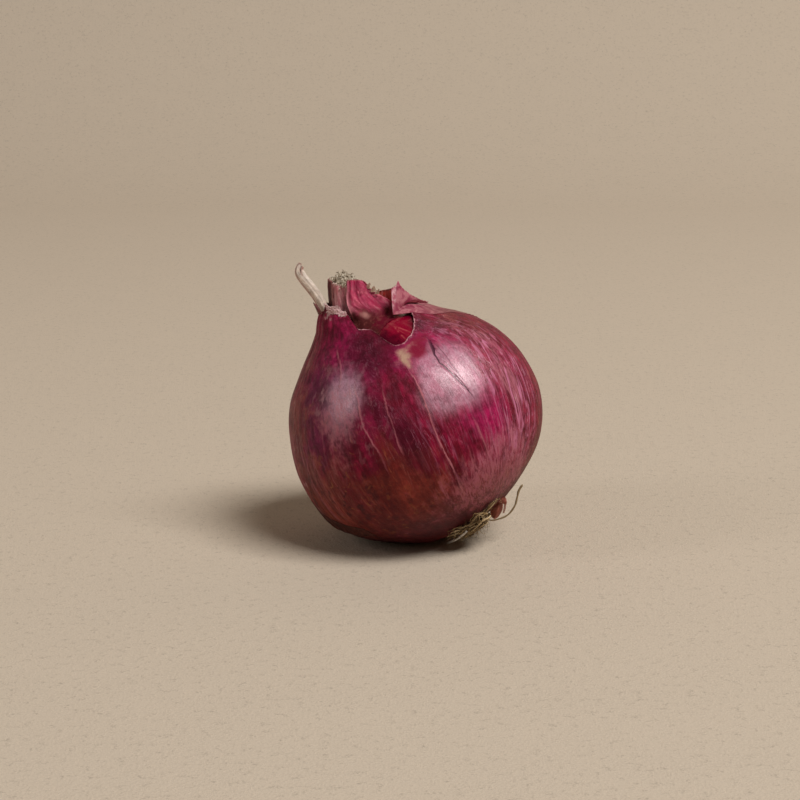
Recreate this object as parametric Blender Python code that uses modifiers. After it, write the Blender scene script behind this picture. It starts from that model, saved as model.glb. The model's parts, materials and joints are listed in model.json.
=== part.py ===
"""A red onion lying on its side, neck up and root end down, on a small flat spot.

Metres, +Z up.  The origin is the middle of the flat spot that the onion rests on.
The bulb's own axis leans towards -X, so the neck is at the upper left and the root
plate at the lower right when the onion is seen from -Y.

Everything on the onion is placed in the bulb's own terms: a station along its
profile, from 0 at the root plate to 1 at the tip of the neck, an angle around the
axis, and a lift off the outer skin.  Angle 0 is the +X side, 270 the side facing -Y.
"""
import math
import random

import bmesh
import bpy
from mathutils import Matrix, Vector

MM = 0.001

# Driving sizes
BULB_RADIUS = 37.5 * MM            # half of a 75 mm onion
LEAN = math.radians(30)            # tilt of the bulb's axis towards -X
CENTRE = Vector((4.25 * MM, 0, 32.7 * MM))
DEPTH_RATIO = 0.97                 # the bulb is a little thinner from front to back
SKIN = 0.4 * MM                    # dry outer skin, as thick as a mesh of this size can hold
DRY = 0.35 * MM                    # dry scales of the neck
GAP = 0.3 * MM                     # clearance between pieces that touch
FACETS = 0.25 * MM                 # room for the flat facets of two curved layers

# Outline of the bulb as (radius, height) in parts of BULB_RADIUS, root plate to neck
OUTLINE = [(0.0, -0.785), (0.20, -0.787), (0.440, -0.754), (0.708, -0.597),
           (0.885, -0.413), (0.985, -0.175), (0.994, 0.087), (0.944, 0.30),
           (0.852, 0.492), (0.742, 0.632), (0.620, 0.745), (0.497, 0.862),
           (0.366, 0.975), (0.247, 1.085), (0.166, 1.160), (0.130, 1.215),
           (0.124, 1.262), (0.120, 1.305)]
NECK_BEND_START = 1.04 * BULB_RADIUS    # above this height the neck turns upright
NECK_TOP = 1.305 * BULB_RADIUS
NECK_BEND = math.radians(38)       # the whole turn, from there to the tip

# The two swollen halves of the bulb and the shallow valley between them
VALLEY_AT = math.radians(277)
VALLEY_WIDTH = math.radians(17)
VALLEY_DEPTH = 0.022
SHOULDER_SKEW = 0.031              # the left shoulder is fuller than the right one
SHOULDER_AT = math.radians(44)
SHOULDER_WIDTH = math.radians(15)
KEEL = 0.045                       # the underside is fuller than the top near the root
KEEL_AT = math.radians(158)
KEEL_WIDTH = math.radians(18)
NECK_DIP = 0.045                   # hollow on the right, between neck and shoulder
NECK_DIP_AT = math.radians(17)
NECK_DIP_WIDTH = math.radians(9)

# Layers, measured down from the outer face of the outer skin
BULB_DEPTH = SKIN + GAP + FACETS
SCALE_DEPTH = SKIN + GAP
BULB_NECK_DEPTH = SCALE_DEPTH + DRY + GAP + FACETS
BULB_TIP = 0.965                   # station where the fleshy bulb ends, inside the neck
NECK_STARTS = 0.60                 # station where the bulb sinks away from its dry skin
NECK_FULL = 0.68
WAIST_AT = 0.79                    # the stump is slimmer here than the skin around it
WAIST_WIDTH = 0.065
WAIST_DEPTH = 2.0 * MM
SCALE_TOP = 0.985                  # station where the dry scales of the neck end
SCALE_RAGGED = 0.010               # how uneven their ends are
FIBRE_RADIUS = 0.33 * MM

# Torn rim of the outer skin: (angle around, station of the tear)
SKIN_RIM = [(0, 0.662), (20, 0.672), (60, 0.730), (100, 0.785), (140, 0.810),
            (172, 0.822), (184, 0.770), (206, 0.766), (218, 0.822), (241, 0.802),
            (258, 0.768), (278, 0.764), (283, 0.730), (286, 0.665), (291, 0.618),
            (294, 0.576), (300, 0.562), (306, 0.548), (313, 0.580), (324, 0.620),
            (333, 0.644), (345, 0.655)]
SKIN_ROOT_STATION = 0.075          # the skin starts around the root plate
SKIN_COLUMNS = 48
SKIN_ROWS = 16
BULB_COLUMNS = 36
BULB_ROWS = 26

# Loose sheet on the right shoulder: (station, degrees) of its front edge
SHOULDER_EDGE = [(0.464, 374), (0.508, 369), (0.552, 361), (0.600, 341), (0.624, 328),
                 (0.650, 311)]
SHOULDER_END = 436                 # its hidden edge, at the back
FLAP_AT = 323                      # its raised flap beside the neck
FLAP_WIDTH = 12
FLAP_RISE = 11.0 * MM
FLAP_REACH = 0.10

REST_Z = 0.0                       # everything below this plane is pressed flat

ROOT_PLATE_RADIUS = 6.2 * MM
ROOT_PLATE_THICK = 1.8 * MM
ROOT_PLATE_SET = 0.65 * MM         # how far it stands below the skin's opening
PLATE_FACE = ROOT_PLATE_THICK + ROOT_PLATE_SET - BULB_DEPTH + GAP
ROOT_RADIUS = 0.27 * MM
# Rings of roots under the plate: (distance from its middle, depth, number of roots)
ROOT_RINGS = [(1.5 * MM, 3.0 * MM, 5), (3.4 * MM, 1.95 * MM, 6), (5.2 * MM, 0.9 * MM, 7)]
FLOOR_CLEAR = 0.25 * MM            # no root goes lower than this


def clear_scene():
    """Remove what the file holds already."""
    for thing in list(bpy.data.objects):
        bpy.data.objects.remove(thing, do_unlink=True)


def new_collection(name):
    """Make a collection in the scene."""
    made = bpy.data.collections.new(name)
    bpy.context.scene.collection.children.link(made)
    return made


def material(name, colour, roughness, metallic=0.0):
    """Make a plain Principled material."""
    made = bpy.data.materials.new(name)
    made.use_nodes = True
    shader = made.node_tree.nodes["Principled BSDF"]
    shader.inputs["Base Color"].default_value = (*colour, 1.0)
    shader.inputs["Roughness"].default_value = roughness
    shader.inputs["Metallic"].default_value = metallic
    return made


def smooth_point(points, place):
    """Read a smooth curve through evenly numbered points; place runs from 0 to 1."""
    spans = len(points) - 1
    along = min(max(place, 0.0), 1.0) * spans
    span = min(int(along), spans - 1)
    t = along - span
    a = Vector(points[max(span - 1, 0)])
    b = Vector(points[span])
    c = Vector(points[span + 1])
    d = Vector(points[min(span + 2, spans)])
    return 0.5 * (2 * b + (c - a) * t + (2 * a - 5 * b + 4 * c - d) * t * t
                  + (3 * b - a - 3 * c + d) * t ** 3)


def outline(station, lift):
    """Radius and height of the bulb's outline at a station, moved out by lift."""
    step = 0.004
    here = smooth_point(OUTLINE, station) * BULB_RADIUS
    before = smooth_point(OUTLINE, station - step)
    after = smooth_point(OUTLINE, station + step)
    along = (after - before).normalized()
    here = here + Vector((along[1], -along[0])) * lift
    return max(here[0], 0.0), here[1]


def bell(value, middle, width):
    """A smooth bump of height 1."""
    return math.exp(-((value - middle) / width) ** 2)


def swelling(around, radius, height):
    """How far the bulb swells or sinks from its turned outline."""
    polar = math.atan2(radius, height)
    skew = SHOULDER_SKEW * math.cos(around) * bell(polar, SHOULDER_AT, SHOULDER_WIDTH)
    right = 0.5 * (1 + math.cos(around))
    dip = NECK_DIP * right * bell(polar, NECK_DIP_AT, NECK_DIP_WIDTH)
    turn = math.remainder(around - VALLEY_AT, math.tau)
    valley = VALLEY_DEPTH * bell(turn, 0, VALLEY_WIDTH) * math.sin(polar) ** 2
    under = 0.5 * (1 - math.cos(around)) * min(3 * math.sin(polar), 1.0)
    keel = KEEL * under * bell(polar, KEEL_AT, KEEL_WIDTH)
    return 1 - skew - dip - valley + keel


def onion_point(station, around, lift=0.0):
    """A point on the onion at a station, an angle in radians and a lift off its skin."""
    radius, height = outline(station, lift)
    swell = swelling(around, radius, height)
    out = radius * math.cos(around) * swell
    deep = radius * math.sin(around) * swell * DEPTH_RATIO
    curve = NECK_BEND / (NECK_TOP - NECK_BEND_START)
    turn = max(height - NECK_BEND_START, 0.0) * curve
    axis_x = (1 - math.cos(turn)) / curve
    axis_z = min(height, NECK_BEND_START) * swell + math.sin(turn) / curve
    local = Vector((axis_x + out * math.cos(turn), deep, axis_z - out * math.sin(turn)))
    return CENTRE + Matrix.Rotation(-LEAN, 3, "Y") @ local


def bulb_depth(station):
    """How far the fleshy bulb lies below the outer face of the outer skin."""
    near = min(max((station - NECK_STARTS) / (NECK_FULL - NECK_STARTS), 0.0), 1.0)
    sunk = BULB_DEPTH + (BULB_NECK_DEPTH - BULB_DEPTH) * near
    return sunk + WAIST_DEPTH * bell(station, WAIST_AT, WAIST_WIDTH)


def add_object(name, mesh, parts, paint):
    """Put a mesh in the scene as one named piece."""
    thing = bpy.data.objects.new(name, mesh)
    parts.objects.link(thing)
    mesh.materials.append(paint)
    mesh.shade_smooth()
    mesh.set_sharp_from_angle(angle=math.radians(50))
    return thing


def mesh_from(bm, name):
    """Turn a bmesh into a mesh."""
    mesh = bpy.data.meshes.new(name)
    bm.to_mesh(mesh)
    bm.free()
    return mesh


def thicken(thing, thickness):
    """Give an open sheet its thickness, inwards from the face that points out."""
    solid = thing.modifiers.new("Thickness", "SOLIDIFY")
    solid.thickness = thickness
    solid.offset = -1
    solid.use_even_offset = True
    solid.use_quality_normals = True


def make_sheet(name, parts, paint, thickness, columns, rows, place):
    """A sheet over the onion; place(across, along) gives station, degrees and lift."""
    bm = bmesh.new()
    bmesh.ops.create_grid(bm, x_segments=columns, y_segments=rows, size=0.5)
    for vert in bm.verts:
        station, degrees, lift = place(vert.co.x + 0.5, vert.co.y + 0.5)
        vert.co = onion_point(station, math.radians(degrees), lift)
    thing = add_object(name, mesh_from(bm, name), parts, paint)
    thicken(thing, thickness)
    return thing


def table_value(pairs, where):
    """Read a value between the points of a short (where, value) table."""
    for (low, first), (high, second) in zip(pairs, pairs[1:]):
        if low <= where <= high:
            share = (where - low) / (high - low)
            return first + (second - first) * share
    return pairs[0][1] if where < pairs[0][0] else pairs[-1][1]


def make_bulb(parts):
    """The fleshy bulb under the dry skin, with the stump of its neck."""
    bm = bmesh.new()
    bmesh.ops.create_uvsphere(bm, u_segments=BULB_COLUMNS, v_segments=BULB_ROWS, radius=1)
    for vert in bm.verts:
        polar = math.acos(max(-1.0, min(1.0, vert.co.z)))
        around = math.atan2(vert.co.y, vert.co.x)
        share = 1 - polar / math.pi
        station = BULB_TIP * share * (1.15 - 0.15 * share)
        vert.co = onion_point(station, around, -bulb_depth(station))
        vert.co.z = max(vert.co.z, REST_Z + BULB_DEPTH + GAP)
    paint = material("wet_scale", (0.22, 0.004, 0.02), 0.25)
    add_object("bulb", mesh_from(bm, "bulb"), parts, paint)


def make_outer_skin(parts):
    """The papery outer skin: open round the root plate and torn open at the neck."""
    bm = bmesh.new()
    bmesh.ops.create_grid(bm, x_segments=SKIN_COLUMNS, y_segments=SKIN_ROWS, size=0.5)
    for vert in bm.verts:
        degrees = (vert.co.x + 0.5) * 360
        rim = table_value(SKIN_RIM + [(360, SKIN_RIM[0][1])], degrees)
        station = SKIN_ROOT_STATION + (rim - SKIN_ROOT_STATION) * (vert.co.y + 0.5)
        vert.co = onion_point(station, math.radians(degrees), 0.0)
    bmesh.ops.remove_doubles(bm, verts=bm.verts, dist=0.00001)
    cut = bmesh.ops.bisect_plane(bm, geom=bm.verts[:] + bm.edges[:] + bm.faces[:],
                                 plane_co=(0, 0, REST_Z), plane_no=(0, 0, -1),
                                 clear_outer=True)
    rim_edges = [e for e in cut["geom_cut"] if isinstance(e, bmesh.types.BMEdge)]
    bmesh.ops.contextual_create(bm, geom=rim_edges)
    bmesh.ops.recalc_face_normals(bm, faces=bm.faces)
    paint = material("dry_skin", (0.16, 0.014, 0.045), 0.35)
    thing = add_object("outer_skin", mesh_from(bm, "outer_skin"), parts, paint)
    thicken(thing, SKIN)


def make_shoulder_skin(parts):
    """A loose sheet of the oldest skin over the right shoulder, with a raised flap."""
    def place(across, along):
        low = SHOULDER_EDGE[0][0] + 0.02 * math.sin(across * 7.0)
        station = low + (SHOULDER_EDGE[-1][0] - low) * along
        start = table_value(SHOULDER_EDGE, station)
        degrees = start + (SHOULDER_END - start) * across
        flap = bell(degrees, FLAP_AT, FLAP_WIDTH) * max((along - 0.6) / 0.4, 0.0) ** 1.3
        return (station + FLAP_REACH * flap, degrees,
                GAP + SKIN + 0.5 * MM * along + FLAP_RISE * flap)
    paint = material("loose_skin", (0.28, 0.08, 0.09), 0.6)
    make_sheet("shoulder_skin", parts, paint, SKIN, 16, 9, place)


def make_neck(parts):
    """Dry scales wrapped round the stump of the neck, and the torn membrane beside it."""
    # name, first and last degree, first and last station, columns, colour
    scales = [("neck_left_scale", 152, 231, 0.765, SCALE_TOP, 7, (0.16, 0.02, 0.03)),
              ("neck_front_scale", 236, 291, 0.775, SCALE_TOP - 0.012, 5, (0.42, 0.16, 0.2)),
              ("neck_right_scale", 296, 351, 0.700, SCALE_TOP - 0.03, 6, (0.4, 0.02, 0.08)),
              ("neck_back_scale", 357, 506, 0.745, SCALE_TOP - 0.01, 10, (0.3, 0.08, 0.1))]
    for name, start, end, low, high, columns, colour in scales:
        def place(across, along, start=start, end=end, low=low, high=high):
            ragged = SCALE_RAGGED * math.sin(across * 11 + start)
            station = low + (high - low + ragged) * along
            depth = bulb_depth(station) - GAP - DRY - FACETS / 2
            return station, start + (end - start) * across, -depth
        make_sheet(name, parts, material(name, colour, 0.5), DRY, columns, 8, place)

    def membrane(across, along):
        degrees = 352 + 50 * across
        peak = 1 - abs(across - 0.35)
        return 0.702 + 0.05 * along * peak, degrees, -1.0 * MM + 4.4 * MM * along * peak
    make_sheet("inner_membrane", parts, material("membrane", (0.25, 0.03, 0.02), 0.4),
               DRY, 6, 4, membrane)


def make_base_flake(parts):
    """A curled flake of skin coming off low on the left side."""
    def place(across, along):
        degrees = 190 + 42 * across
        middle = 0.292 - 0.075 * across
        station = middle + 0.035 * (along - 0.5)
        lifted = 1.1 * MM * (1 - along) * math.sin(math.pi * across)
        return station, degrees, GAP + SKIN + lifted
    make_sheet("base_flake", parts, material("old_skin", (0.05, 0.02, 0.02), 0.6),
               SKIN, 8, 3, place)


def strand(name, parts, paint, points, radius, radii=(1.0, 0.7), sides=1):
    """A dry fibre: a tube through a few points, with its relative radii along it."""
    curve = bpy.data.curves.new(name, "CURVE")
    curve.dimensions = "3D"
    curve.bevel_depth = radius
    curve.bevel_resolution = sides
    curve.use_fill_caps = True
    spline = curve.splines.new("POLY")
    count = 2 * len(points) - 1
    spline.points.add(count - 1)
    table = [(place / (len(radii) - 1), value) for place, value in enumerate(radii)]
    for number, point in enumerate(spline.points):
        share = number / (count - 1)
        point.co = (*smooth_point(points, share), 1.0)
        point.radius = table_value(table, share)
    thing = bpy.data.objects.new(name, curve)
    parts.objects.link(thing)
    curve.materials.append(paint)
    return thing


def from_centre(x, y, z):
    """A place given in millimetres from the middle of the bulb."""
    return CENTRE + Vector((x, y, z)) * MM


def make_dry_leaf(parts):
    """The last dry leaf, rolled up, and a splinter of skin beside it."""
    leaf = [onion_point(0.782, math.radians(196), -1.75 * MM), from_centre(-27.3, -2.4, 37.5),
            from_centre(-29.6, -2.4, 40.6), from_centre(-31.7, -2.3, 43.5),
            from_centre(-33.0, -2.2, 45.8), from_centre(-32.9, -2.0, 47.9)]
    strand("dry_leaf", parts, material("straw", (0.72, 0.6, 0.45), 0.6),
           leaf, 1.3 * MM, (0.6, 0.95, 1.0, 0.95, 0.75, 0.5), 2)
    splinter = [onion_point(0.770, math.radians(222), GAP + 0.35 * MM),
                onion_point(0.795, math.radians(219), 0.9 * MM),
                from_centre(-29.4, -5.0, 38.6)]
    strand("leaf_splinter", parts, material("splinter", (0.5, 0.2, 0.2), 0.6),
           splinter, 0.35 * MM, (1.0, 0.5))


def make_neck_fibres(parts):
    """Crumbly ends of the dried leaf bases, sticking out of the neck."""
    rng = random.Random(11)
    paint = material("fibre", (0.3, 0.25, 0.16), 0.9)
    count = 7
    for number in range(count):
        around = math.tau * number / count + 0.3
        reach = rng.uniform(2.2, 4.6) * MM
        start = onion_point(0.972, around, -SCALE_DEPTH - DRY - GAP - 2 * FIBRE_RADIUS)
        lean = Vector((math.cos(around), math.sin(around), 0))
        points = []
        for share in (0.0, 0.35, 0.7, 1.0):
            sway = lean * (rng.uniform(0.1, 0.5) * MM * share)
            points.append(start + sway + Vector((0, 0, reach * share)))
        strand(f"neck_fibre_{number + 1}", parts, paint, points, FIBRE_RADIUS)


def root_frame(across, depth, turn):
    """A place under the root plate: across and depth in metres, turn in radians."""
    height = OUTLINE[0][1] * BULB_RADIUS - depth
    local = Vector((across * math.cos(turn), across * math.sin(turn), height))
    return CENTRE + Matrix.Rotation(-LEAN, 3, "Y") @ local


def make_root_plate(parts):
    """The corky disc that the roots grow from, in the opening of the skin."""
    bm = bmesh.new()
    bmesh.ops.create_cone(bm, cap_ends=True, segments=28, radius1=ROOT_PLATE_RADIUS * 0.9,
                          radius2=ROOT_PLATE_RADIUS, depth=ROOT_PLATE_THICK)
    middle = root_frame(0, PLATE_FACE - ROOT_PLATE_THICK / 2, 0)
    place = Matrix.Translation(middle) @ Matrix.Rotation(-LEAN, 4, "Y")
    bmesh.ops.transform(bm, matrix=place, verts=bm.verts)
    add_object("root_plate", mesh_from(bm, "root_plate"), parts,
               material("cork", (0.2, 0.12, 0.06), 0.9))


def make_roots(parts):
    """Dry roots in three rings; the inner ones run under the outer ones."""
    rng = random.Random(5)
    paint = material("root", (0.4, 0.28, 0.12), 0.85)
    number = 0
    for ring, (start, depth, count) in enumerate(ROOT_RINGS):
        for step in range(count):
            number += 1
            turn = math.tau * (step + 0.33 * ring) / count
            reach = rng.uniform(4.0, 6.5) * MM * (1 + 0.35 * math.cos(turn))
            points = [root_frame(start, PLATE_FACE + GAP + ROOT_RADIUS / 2, turn)]
            points.append(root_frame(start + 0.3 * MM, PLATE_FACE + depth * 0.7, turn))
            for share in (0.3, 0.65, 1.0):
                sway = rng.uniform(-0.05, 0.05)
                drop = PLATE_FACE + depth + rng.uniform(-0.1, 0.1) * MM
                points.append(root_frame(start + reach * share, drop, turn + sway))
            for point in points:
                point.z = max(point.z, ROOT_RADIUS + FLOOR_CLEAR)
            strand(f"root_{number:02d}", parts, paint, points, ROOT_RADIUS)


def make_stray_roots(parts):
    """One long root curling up beside the bulb, and a pale one lying in front."""
    root = material("long_root", (0.42, 0.32, 0.16), 0.8)
    long_points = [from_centre(20.8, -6.8, -26.2), from_centre(23.6, -7.0, -26.2),
                   from_centre(26.6, -7.0, -24.6), from_centre(28.6, -6.8, -22.0),
                   from_centre(29.3, -6.5, -19.3), from_centre(30.6, -6.2, -16.8)]
    strand("long_root", parts, root, long_points, 0.33 * MM)
    pale = material("pale_root", (0.7, 0.66, 0.58), 0.7)
    pale_points = [from_centre(14.3, -9.4, -29.8), from_centre(12.5, -10.2, -31.0),
                   from_centre(10.7, -10.8, -32.1), from_centre(9.1, -11.5, -32.3)]
    strand("pale_root", parts, pale, pale_points, 0.35 * MM)


def make_root_scrap(parts):
    """A scrap of papery skin that hangs from the edge of the root plate."""
    bm = bmesh.new()
    bmesh.ops.create_grid(bm, x_segments=5, y_segments=6, size=0.5)
    for vert in bm.verts:
        across = vert.co.x
        along = vert.co.y + 0.5
        width = 3.6 * math.sin(math.pi * (0.18 + 0.72 * along))
        curl = 1.6 * across * across - 0.9 * along
        vert.co = from_centre(26.2 + width * across - 2.4 * along, -5.4 + curl,
                              -20.4 - 6.8 * along)
    thing = add_object("root_skin_scrap", mesh_from(bm, "root_skin_scrap"), parts,
                       material("scrap", (0.35, 0.12, 0.08), 0.6))
    thicken(thing, DRY)


clear_scene()
onion = new_collection("red_onion")
make_bulb(onion)
make_outer_skin(onion)
make_shoulder_skin(onion)
make_neck(onion)
make_base_flake(onion)
make_dry_leaf(onion)
make_neck_fibres(onion)
make_root_plate(onion)
make_roots(onion)
make_stray_roots(onion)
make_root_scrap(onion)
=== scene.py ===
"""The looks of a red onion: torn papery coat, neck scales, dry leaf, loose skin and roots.

Metres, +Z up, around the fixed frame.  The bulb's own axis leans towards -X, its neck up.
Places on the onion are a station along its profile, from 0 at the root plate to 1 at
the tip of the neck, degrees around the axis (0 at +X, 270 at -Y), and a lift off the coat.
"""
import json
import math
import random

import bpy
import numpy as np
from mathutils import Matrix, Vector

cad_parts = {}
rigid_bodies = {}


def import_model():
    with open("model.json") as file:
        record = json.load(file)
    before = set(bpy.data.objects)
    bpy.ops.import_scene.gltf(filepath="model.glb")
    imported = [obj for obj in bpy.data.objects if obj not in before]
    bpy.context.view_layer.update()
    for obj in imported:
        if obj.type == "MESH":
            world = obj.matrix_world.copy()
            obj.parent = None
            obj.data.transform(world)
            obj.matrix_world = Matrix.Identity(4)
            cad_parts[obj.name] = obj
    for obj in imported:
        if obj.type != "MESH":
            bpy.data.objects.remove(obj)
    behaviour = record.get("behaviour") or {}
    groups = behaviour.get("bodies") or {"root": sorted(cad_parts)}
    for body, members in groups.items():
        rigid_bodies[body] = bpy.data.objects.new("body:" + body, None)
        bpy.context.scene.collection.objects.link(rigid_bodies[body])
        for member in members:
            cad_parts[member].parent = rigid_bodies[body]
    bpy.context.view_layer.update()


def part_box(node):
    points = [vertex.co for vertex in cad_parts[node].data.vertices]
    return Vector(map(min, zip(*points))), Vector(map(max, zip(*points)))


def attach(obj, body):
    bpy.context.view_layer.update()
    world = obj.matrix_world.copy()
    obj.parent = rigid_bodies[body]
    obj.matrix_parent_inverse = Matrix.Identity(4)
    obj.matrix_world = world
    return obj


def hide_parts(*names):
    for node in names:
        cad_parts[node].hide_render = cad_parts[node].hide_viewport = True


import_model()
MM = 0.001

# The stage: a sheet of warm beige paper that sweeps up behind the onion, one large soft
# light high on the right, a weaker tall one on the left, and the colour of the paper all
# around.  The camera stands in front, a little above the onion.
BULB_RADIUS = 37.5 * MM
coat_low, coat_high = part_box("outer_skin")
CENTRE_HEIGHT = 32.7 * MM          # from the resting spot to the middle of the bulb
CENTRE_SHIFT = 0.3 * MM            # the coat reaches out a little further on the neck's side
CENTRE = Vector((0.5 * (coat_low[0] + coat_high[0]) + CENTRE_SHIFT, 0.5 * (coat_low[1] + coat_high[1]),
                 coat_low[2] + CENTRE_HEIGHT))


def is_socket(value):
    """Whether a value comes from another node."""
    return isinstance(value, bpy.types.NodeSocket)


def add_node(tree, kind, inputs, **settings):
    """Add a shader node; an input is a value or another node's socket."""
    made = tree.nodes.new("ShaderNode" + kind)
    for key, value in settings.items():
        setattr(made, key, value)
    for key, value in inputs.items():
        if is_socket(value):
            tree.links.new(value, made.inputs[key])
        else:
            made.inputs[key].default_value = value
    return made


def new_finish(name, **values):
    """A Principled material, with values for the shader's own sockets."""
    made = bpy.data.materials.new(name)
    made.use_nodes = True
    shader = made.node_tree.nodes["Principled BSDF"]
    for key, value in values.items():
        shader.inputs[key.replace("_", " ")].default_value = value
    return made, made.node_tree, shader


def tree_of(*values):
    """The node tree that the first socket among some values belongs to."""
    return next(value.id_data for value in values if is_socket(value))


def noise(vector, scale, detail=2.0, roughness=0.5, distortion=0.0):
    """Noise from 0 to 1."""
    inputs = {"Vector": vector, "Scale": scale, "Detail": detail, "Roughness": roughness,
              "Distortion": distortion}
    return add_node(vector.id_data, "TexNoise", inputs).outputs[0]


def mix(share, first, second, mode="MIX"):
    """Blend two colours, each a socket or its red, green and blue."""
    inputs = {0: share, 6: first if is_socket(first) else (*first, 1.0),
              7: second if is_socket(second) else (*second, 1.0)}
    made = add_node(tree_of(share, first, second), "Mix", inputs, data_type="RGBA", blend_type=mode)
    return made.outputs[2]


def calc(operation, first, second=0.0):
    """Arithmetic on one or two values."""
    return add_node(tree_of(first, second), "Math", {0: first, 1: second}, operation=operation).outputs[0]


def fade(value, low, high, start=0.0, end=1.0):
    """A smooth step from start to end as the value goes from low to high."""
    inputs = {"Value": value, "From Min": low, "From Max": high, "To Min": start, "To Max": end}
    return add_node(value.id_data, "MapRange", inputs, interpolation_type="SMOOTHSTEP").outputs[0]


def object_place(tree):
    """A point's place in the piece."""
    return add_node(tree, "TexCoord", {}).outputs["Object"]


def paint(shader, **sockets):
    """Lead values into the shader's own sockets."""
    for key, value in sockets.items():
        shader.id_data.links.new(value, shader.inputs[key.replace("_", " ")])


def emboss(shader, height, depth, strength, socket="Normal"):
    """Press a height pattern into the surface, at most so deep."""
    bump = add_node(shader.id_data, "Bump", {"Height": height, "Distance": depth, "Strength": strength})
    shader.id_data.links.new(bump.outputs[0], shader.inputs[socket])


PAPER = (0.56, 0.480, 0.385)
PAPER_GRAIN = 0.28 * MM
paper, tree, shader = new_finish("beige_paper", Roughness=0.95, Specular_IOR_Level=0.15)
place = object_place(tree)
mottle = noise(place, 60, 3)
grain = noise(place, 1500, 2, 0.6)
specks = noise(place, 420, 3, 0.6)
tint = mix(mottle, tuple(c * 0.96 for c in PAPER), tuple(c * 1.04 for c in PAPER))
tint = mix(fade(specks, 0.52, 0.72), tint, tuple(c * 0.74 for c in PAPER))
tint = mix(fade(grain, 0.35, 0.65), tint, tuple(c * 1.06 for c in PAPER))
paint(shader, Base_Color=tint)
emboss(shader, calc("ADD", grain, specks), PAPER_GRAIN, 0.7)

SWEEP_START = 0.75                 # how far behind the onion the paper starts to rise
SWEEP_RADIUS = 0.5
SWEEP_TOP = 2.2
SWEEP_REACH = 9.0                  # how far the paper runs to the front and to each side
SWEEP_STEPS = 12
rows = [(-SWEEP_REACH, 0.0), (SWEEP_START, 0.0)]
for step in range(1, SWEEP_STEPS + 1):
    turn = math.radians(90) * step / SWEEP_STEPS
    rows.append((SWEEP_START + SWEEP_RADIUS * math.sin(turn), SWEEP_RADIUS * (1 - math.cos(turn))))
rows.append((SWEEP_START + SWEEP_RADIUS, SWEEP_TOP))
verts = [(side * SWEEP_REACH, deep, high) for deep, high in rows for side in (-1, 1)]
faces = [(2 * n, 2 * n + 1, 2 * n + 3, 2 * n + 2) for n in range(len(rows) - 1)]
mesh = bpy.data.meshes.new("paper_sweep")
mesh.from_pydata(verts, [], faces)
mesh.shade_smooth()
mesh.materials.append(paper)
sweep = bpy.data.objects.new("paper_sweep", mesh)
bpy.context.scene.collection.objects.link(sweep)


def soft_light(name, towards, distance, size, watts, colour):
    """A rectangular soft light that stands towards a direction from the bulb."""
    lamp = bpy.data.lights.new(name, "AREA")
    lamp.shape = "RECTANGLE"
    lamp.size, lamp.size_y = size
    lamp.energy = watts
    lamp.color = colour
    thing = bpy.data.objects.new(name, lamp)
    direction = Vector(towards).normalized()
    thing.location = CENTRE + direction * distance
    thing.rotation_euler = direction.to_track_quat("Z", "Y").to_euler()
    bpy.context.scene.collection.objects.link(thing)


soft_light("key_light", towards=(0.456, -0.346, 0.827), distance=3.0, size=(1.5, 1.2), watts=85.0,
           colour=(1.0, 0.975, 0.95))
soft_light("left_light", towards=(-0.863, -0.283, 0.429), distance=2.5, size=(0.55, 1.3), watts=8.0,
           colour=(1.0, 0.95, 0.95))
ROOM_COLOUR = (0.66, 0.50, 0.34, 1.0)
ROOM_STRENGTH = 0.095
world = bpy.data.worlds.new("room")
world.use_nodes = True
world.node_tree.nodes["Background"].inputs["Color"].default_value = ROOM_COLOUR
world.node_tree.nodes["Background"].inputs["Strength"].default_value = ROOM_STRENGTH
bpy.context.scene.world = world
bpy.context.scene.view_settings.view_transform = "Standard"

CAMERA_RISE = math.radians(14)
CAMERA_DISTANCE = 0.5512
CAMERA_AIM = Vector((-4.96 * MM, 0, 8.1 * MM))     # from the middle of the bulb
lens = bpy.data.cameras.new("camera")
lens.lens = 85
camera = bpy.data.objects.new("camera", lens)
camera.location = CENTRE + Vector((0, -math.cos(CAMERA_RISE), math.sin(CAMERA_RISE))) * CAMERA_DISTANCE
camera.rotation_euler = (camera.location - CENTRE - CAMERA_AIM).to_track_quat("Z", "Y").to_euler()
bpy.context.scene.collection.objects.link(camera)
bpy.context.scene.camera = camera

# The dry coat: the outer papery skin, torn open in a ragged funnel round the neck and open
# round the root plate.  It is one closed sheet on the onion's profile, with folds, ribs,
# veins and cracks in the mesh; masks on its points say where colours and wear belong, and
# where highlights and shade are painted into its colour.
LEAN = math.radians(30)
DEPTH_RATIO = 0.97                 # the bulb is a little narrower from front to back
# Radius and height from the root end to the tip of the neck, in bulb radii
OUTLINE = np.array([(0.0, -0.785), (0.20, -0.787), (0.440, -0.754), (0.708, -0.597),
                    (0.885, -0.413), (0.985, -0.175), (0.994, 0.087), (0.944, 0.30),
                    (0.852, 0.492), (0.742, 0.632), (0.620, 0.745), (0.497, 0.862),
                    (0.366, 0.975), (0.247, 1.085), (0.166, 1.160), (0.130, 1.215),
                    (0.124, 1.262), (0.120, 1.305)])
NECK_BEND_START = 1.04 * BULB_RADIUS
NECK_TOP = 1.305 * BULB_RADIUS
NECK_BEND = math.radians(38)
COAT_THICKNESS = 0.3 * MM
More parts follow.
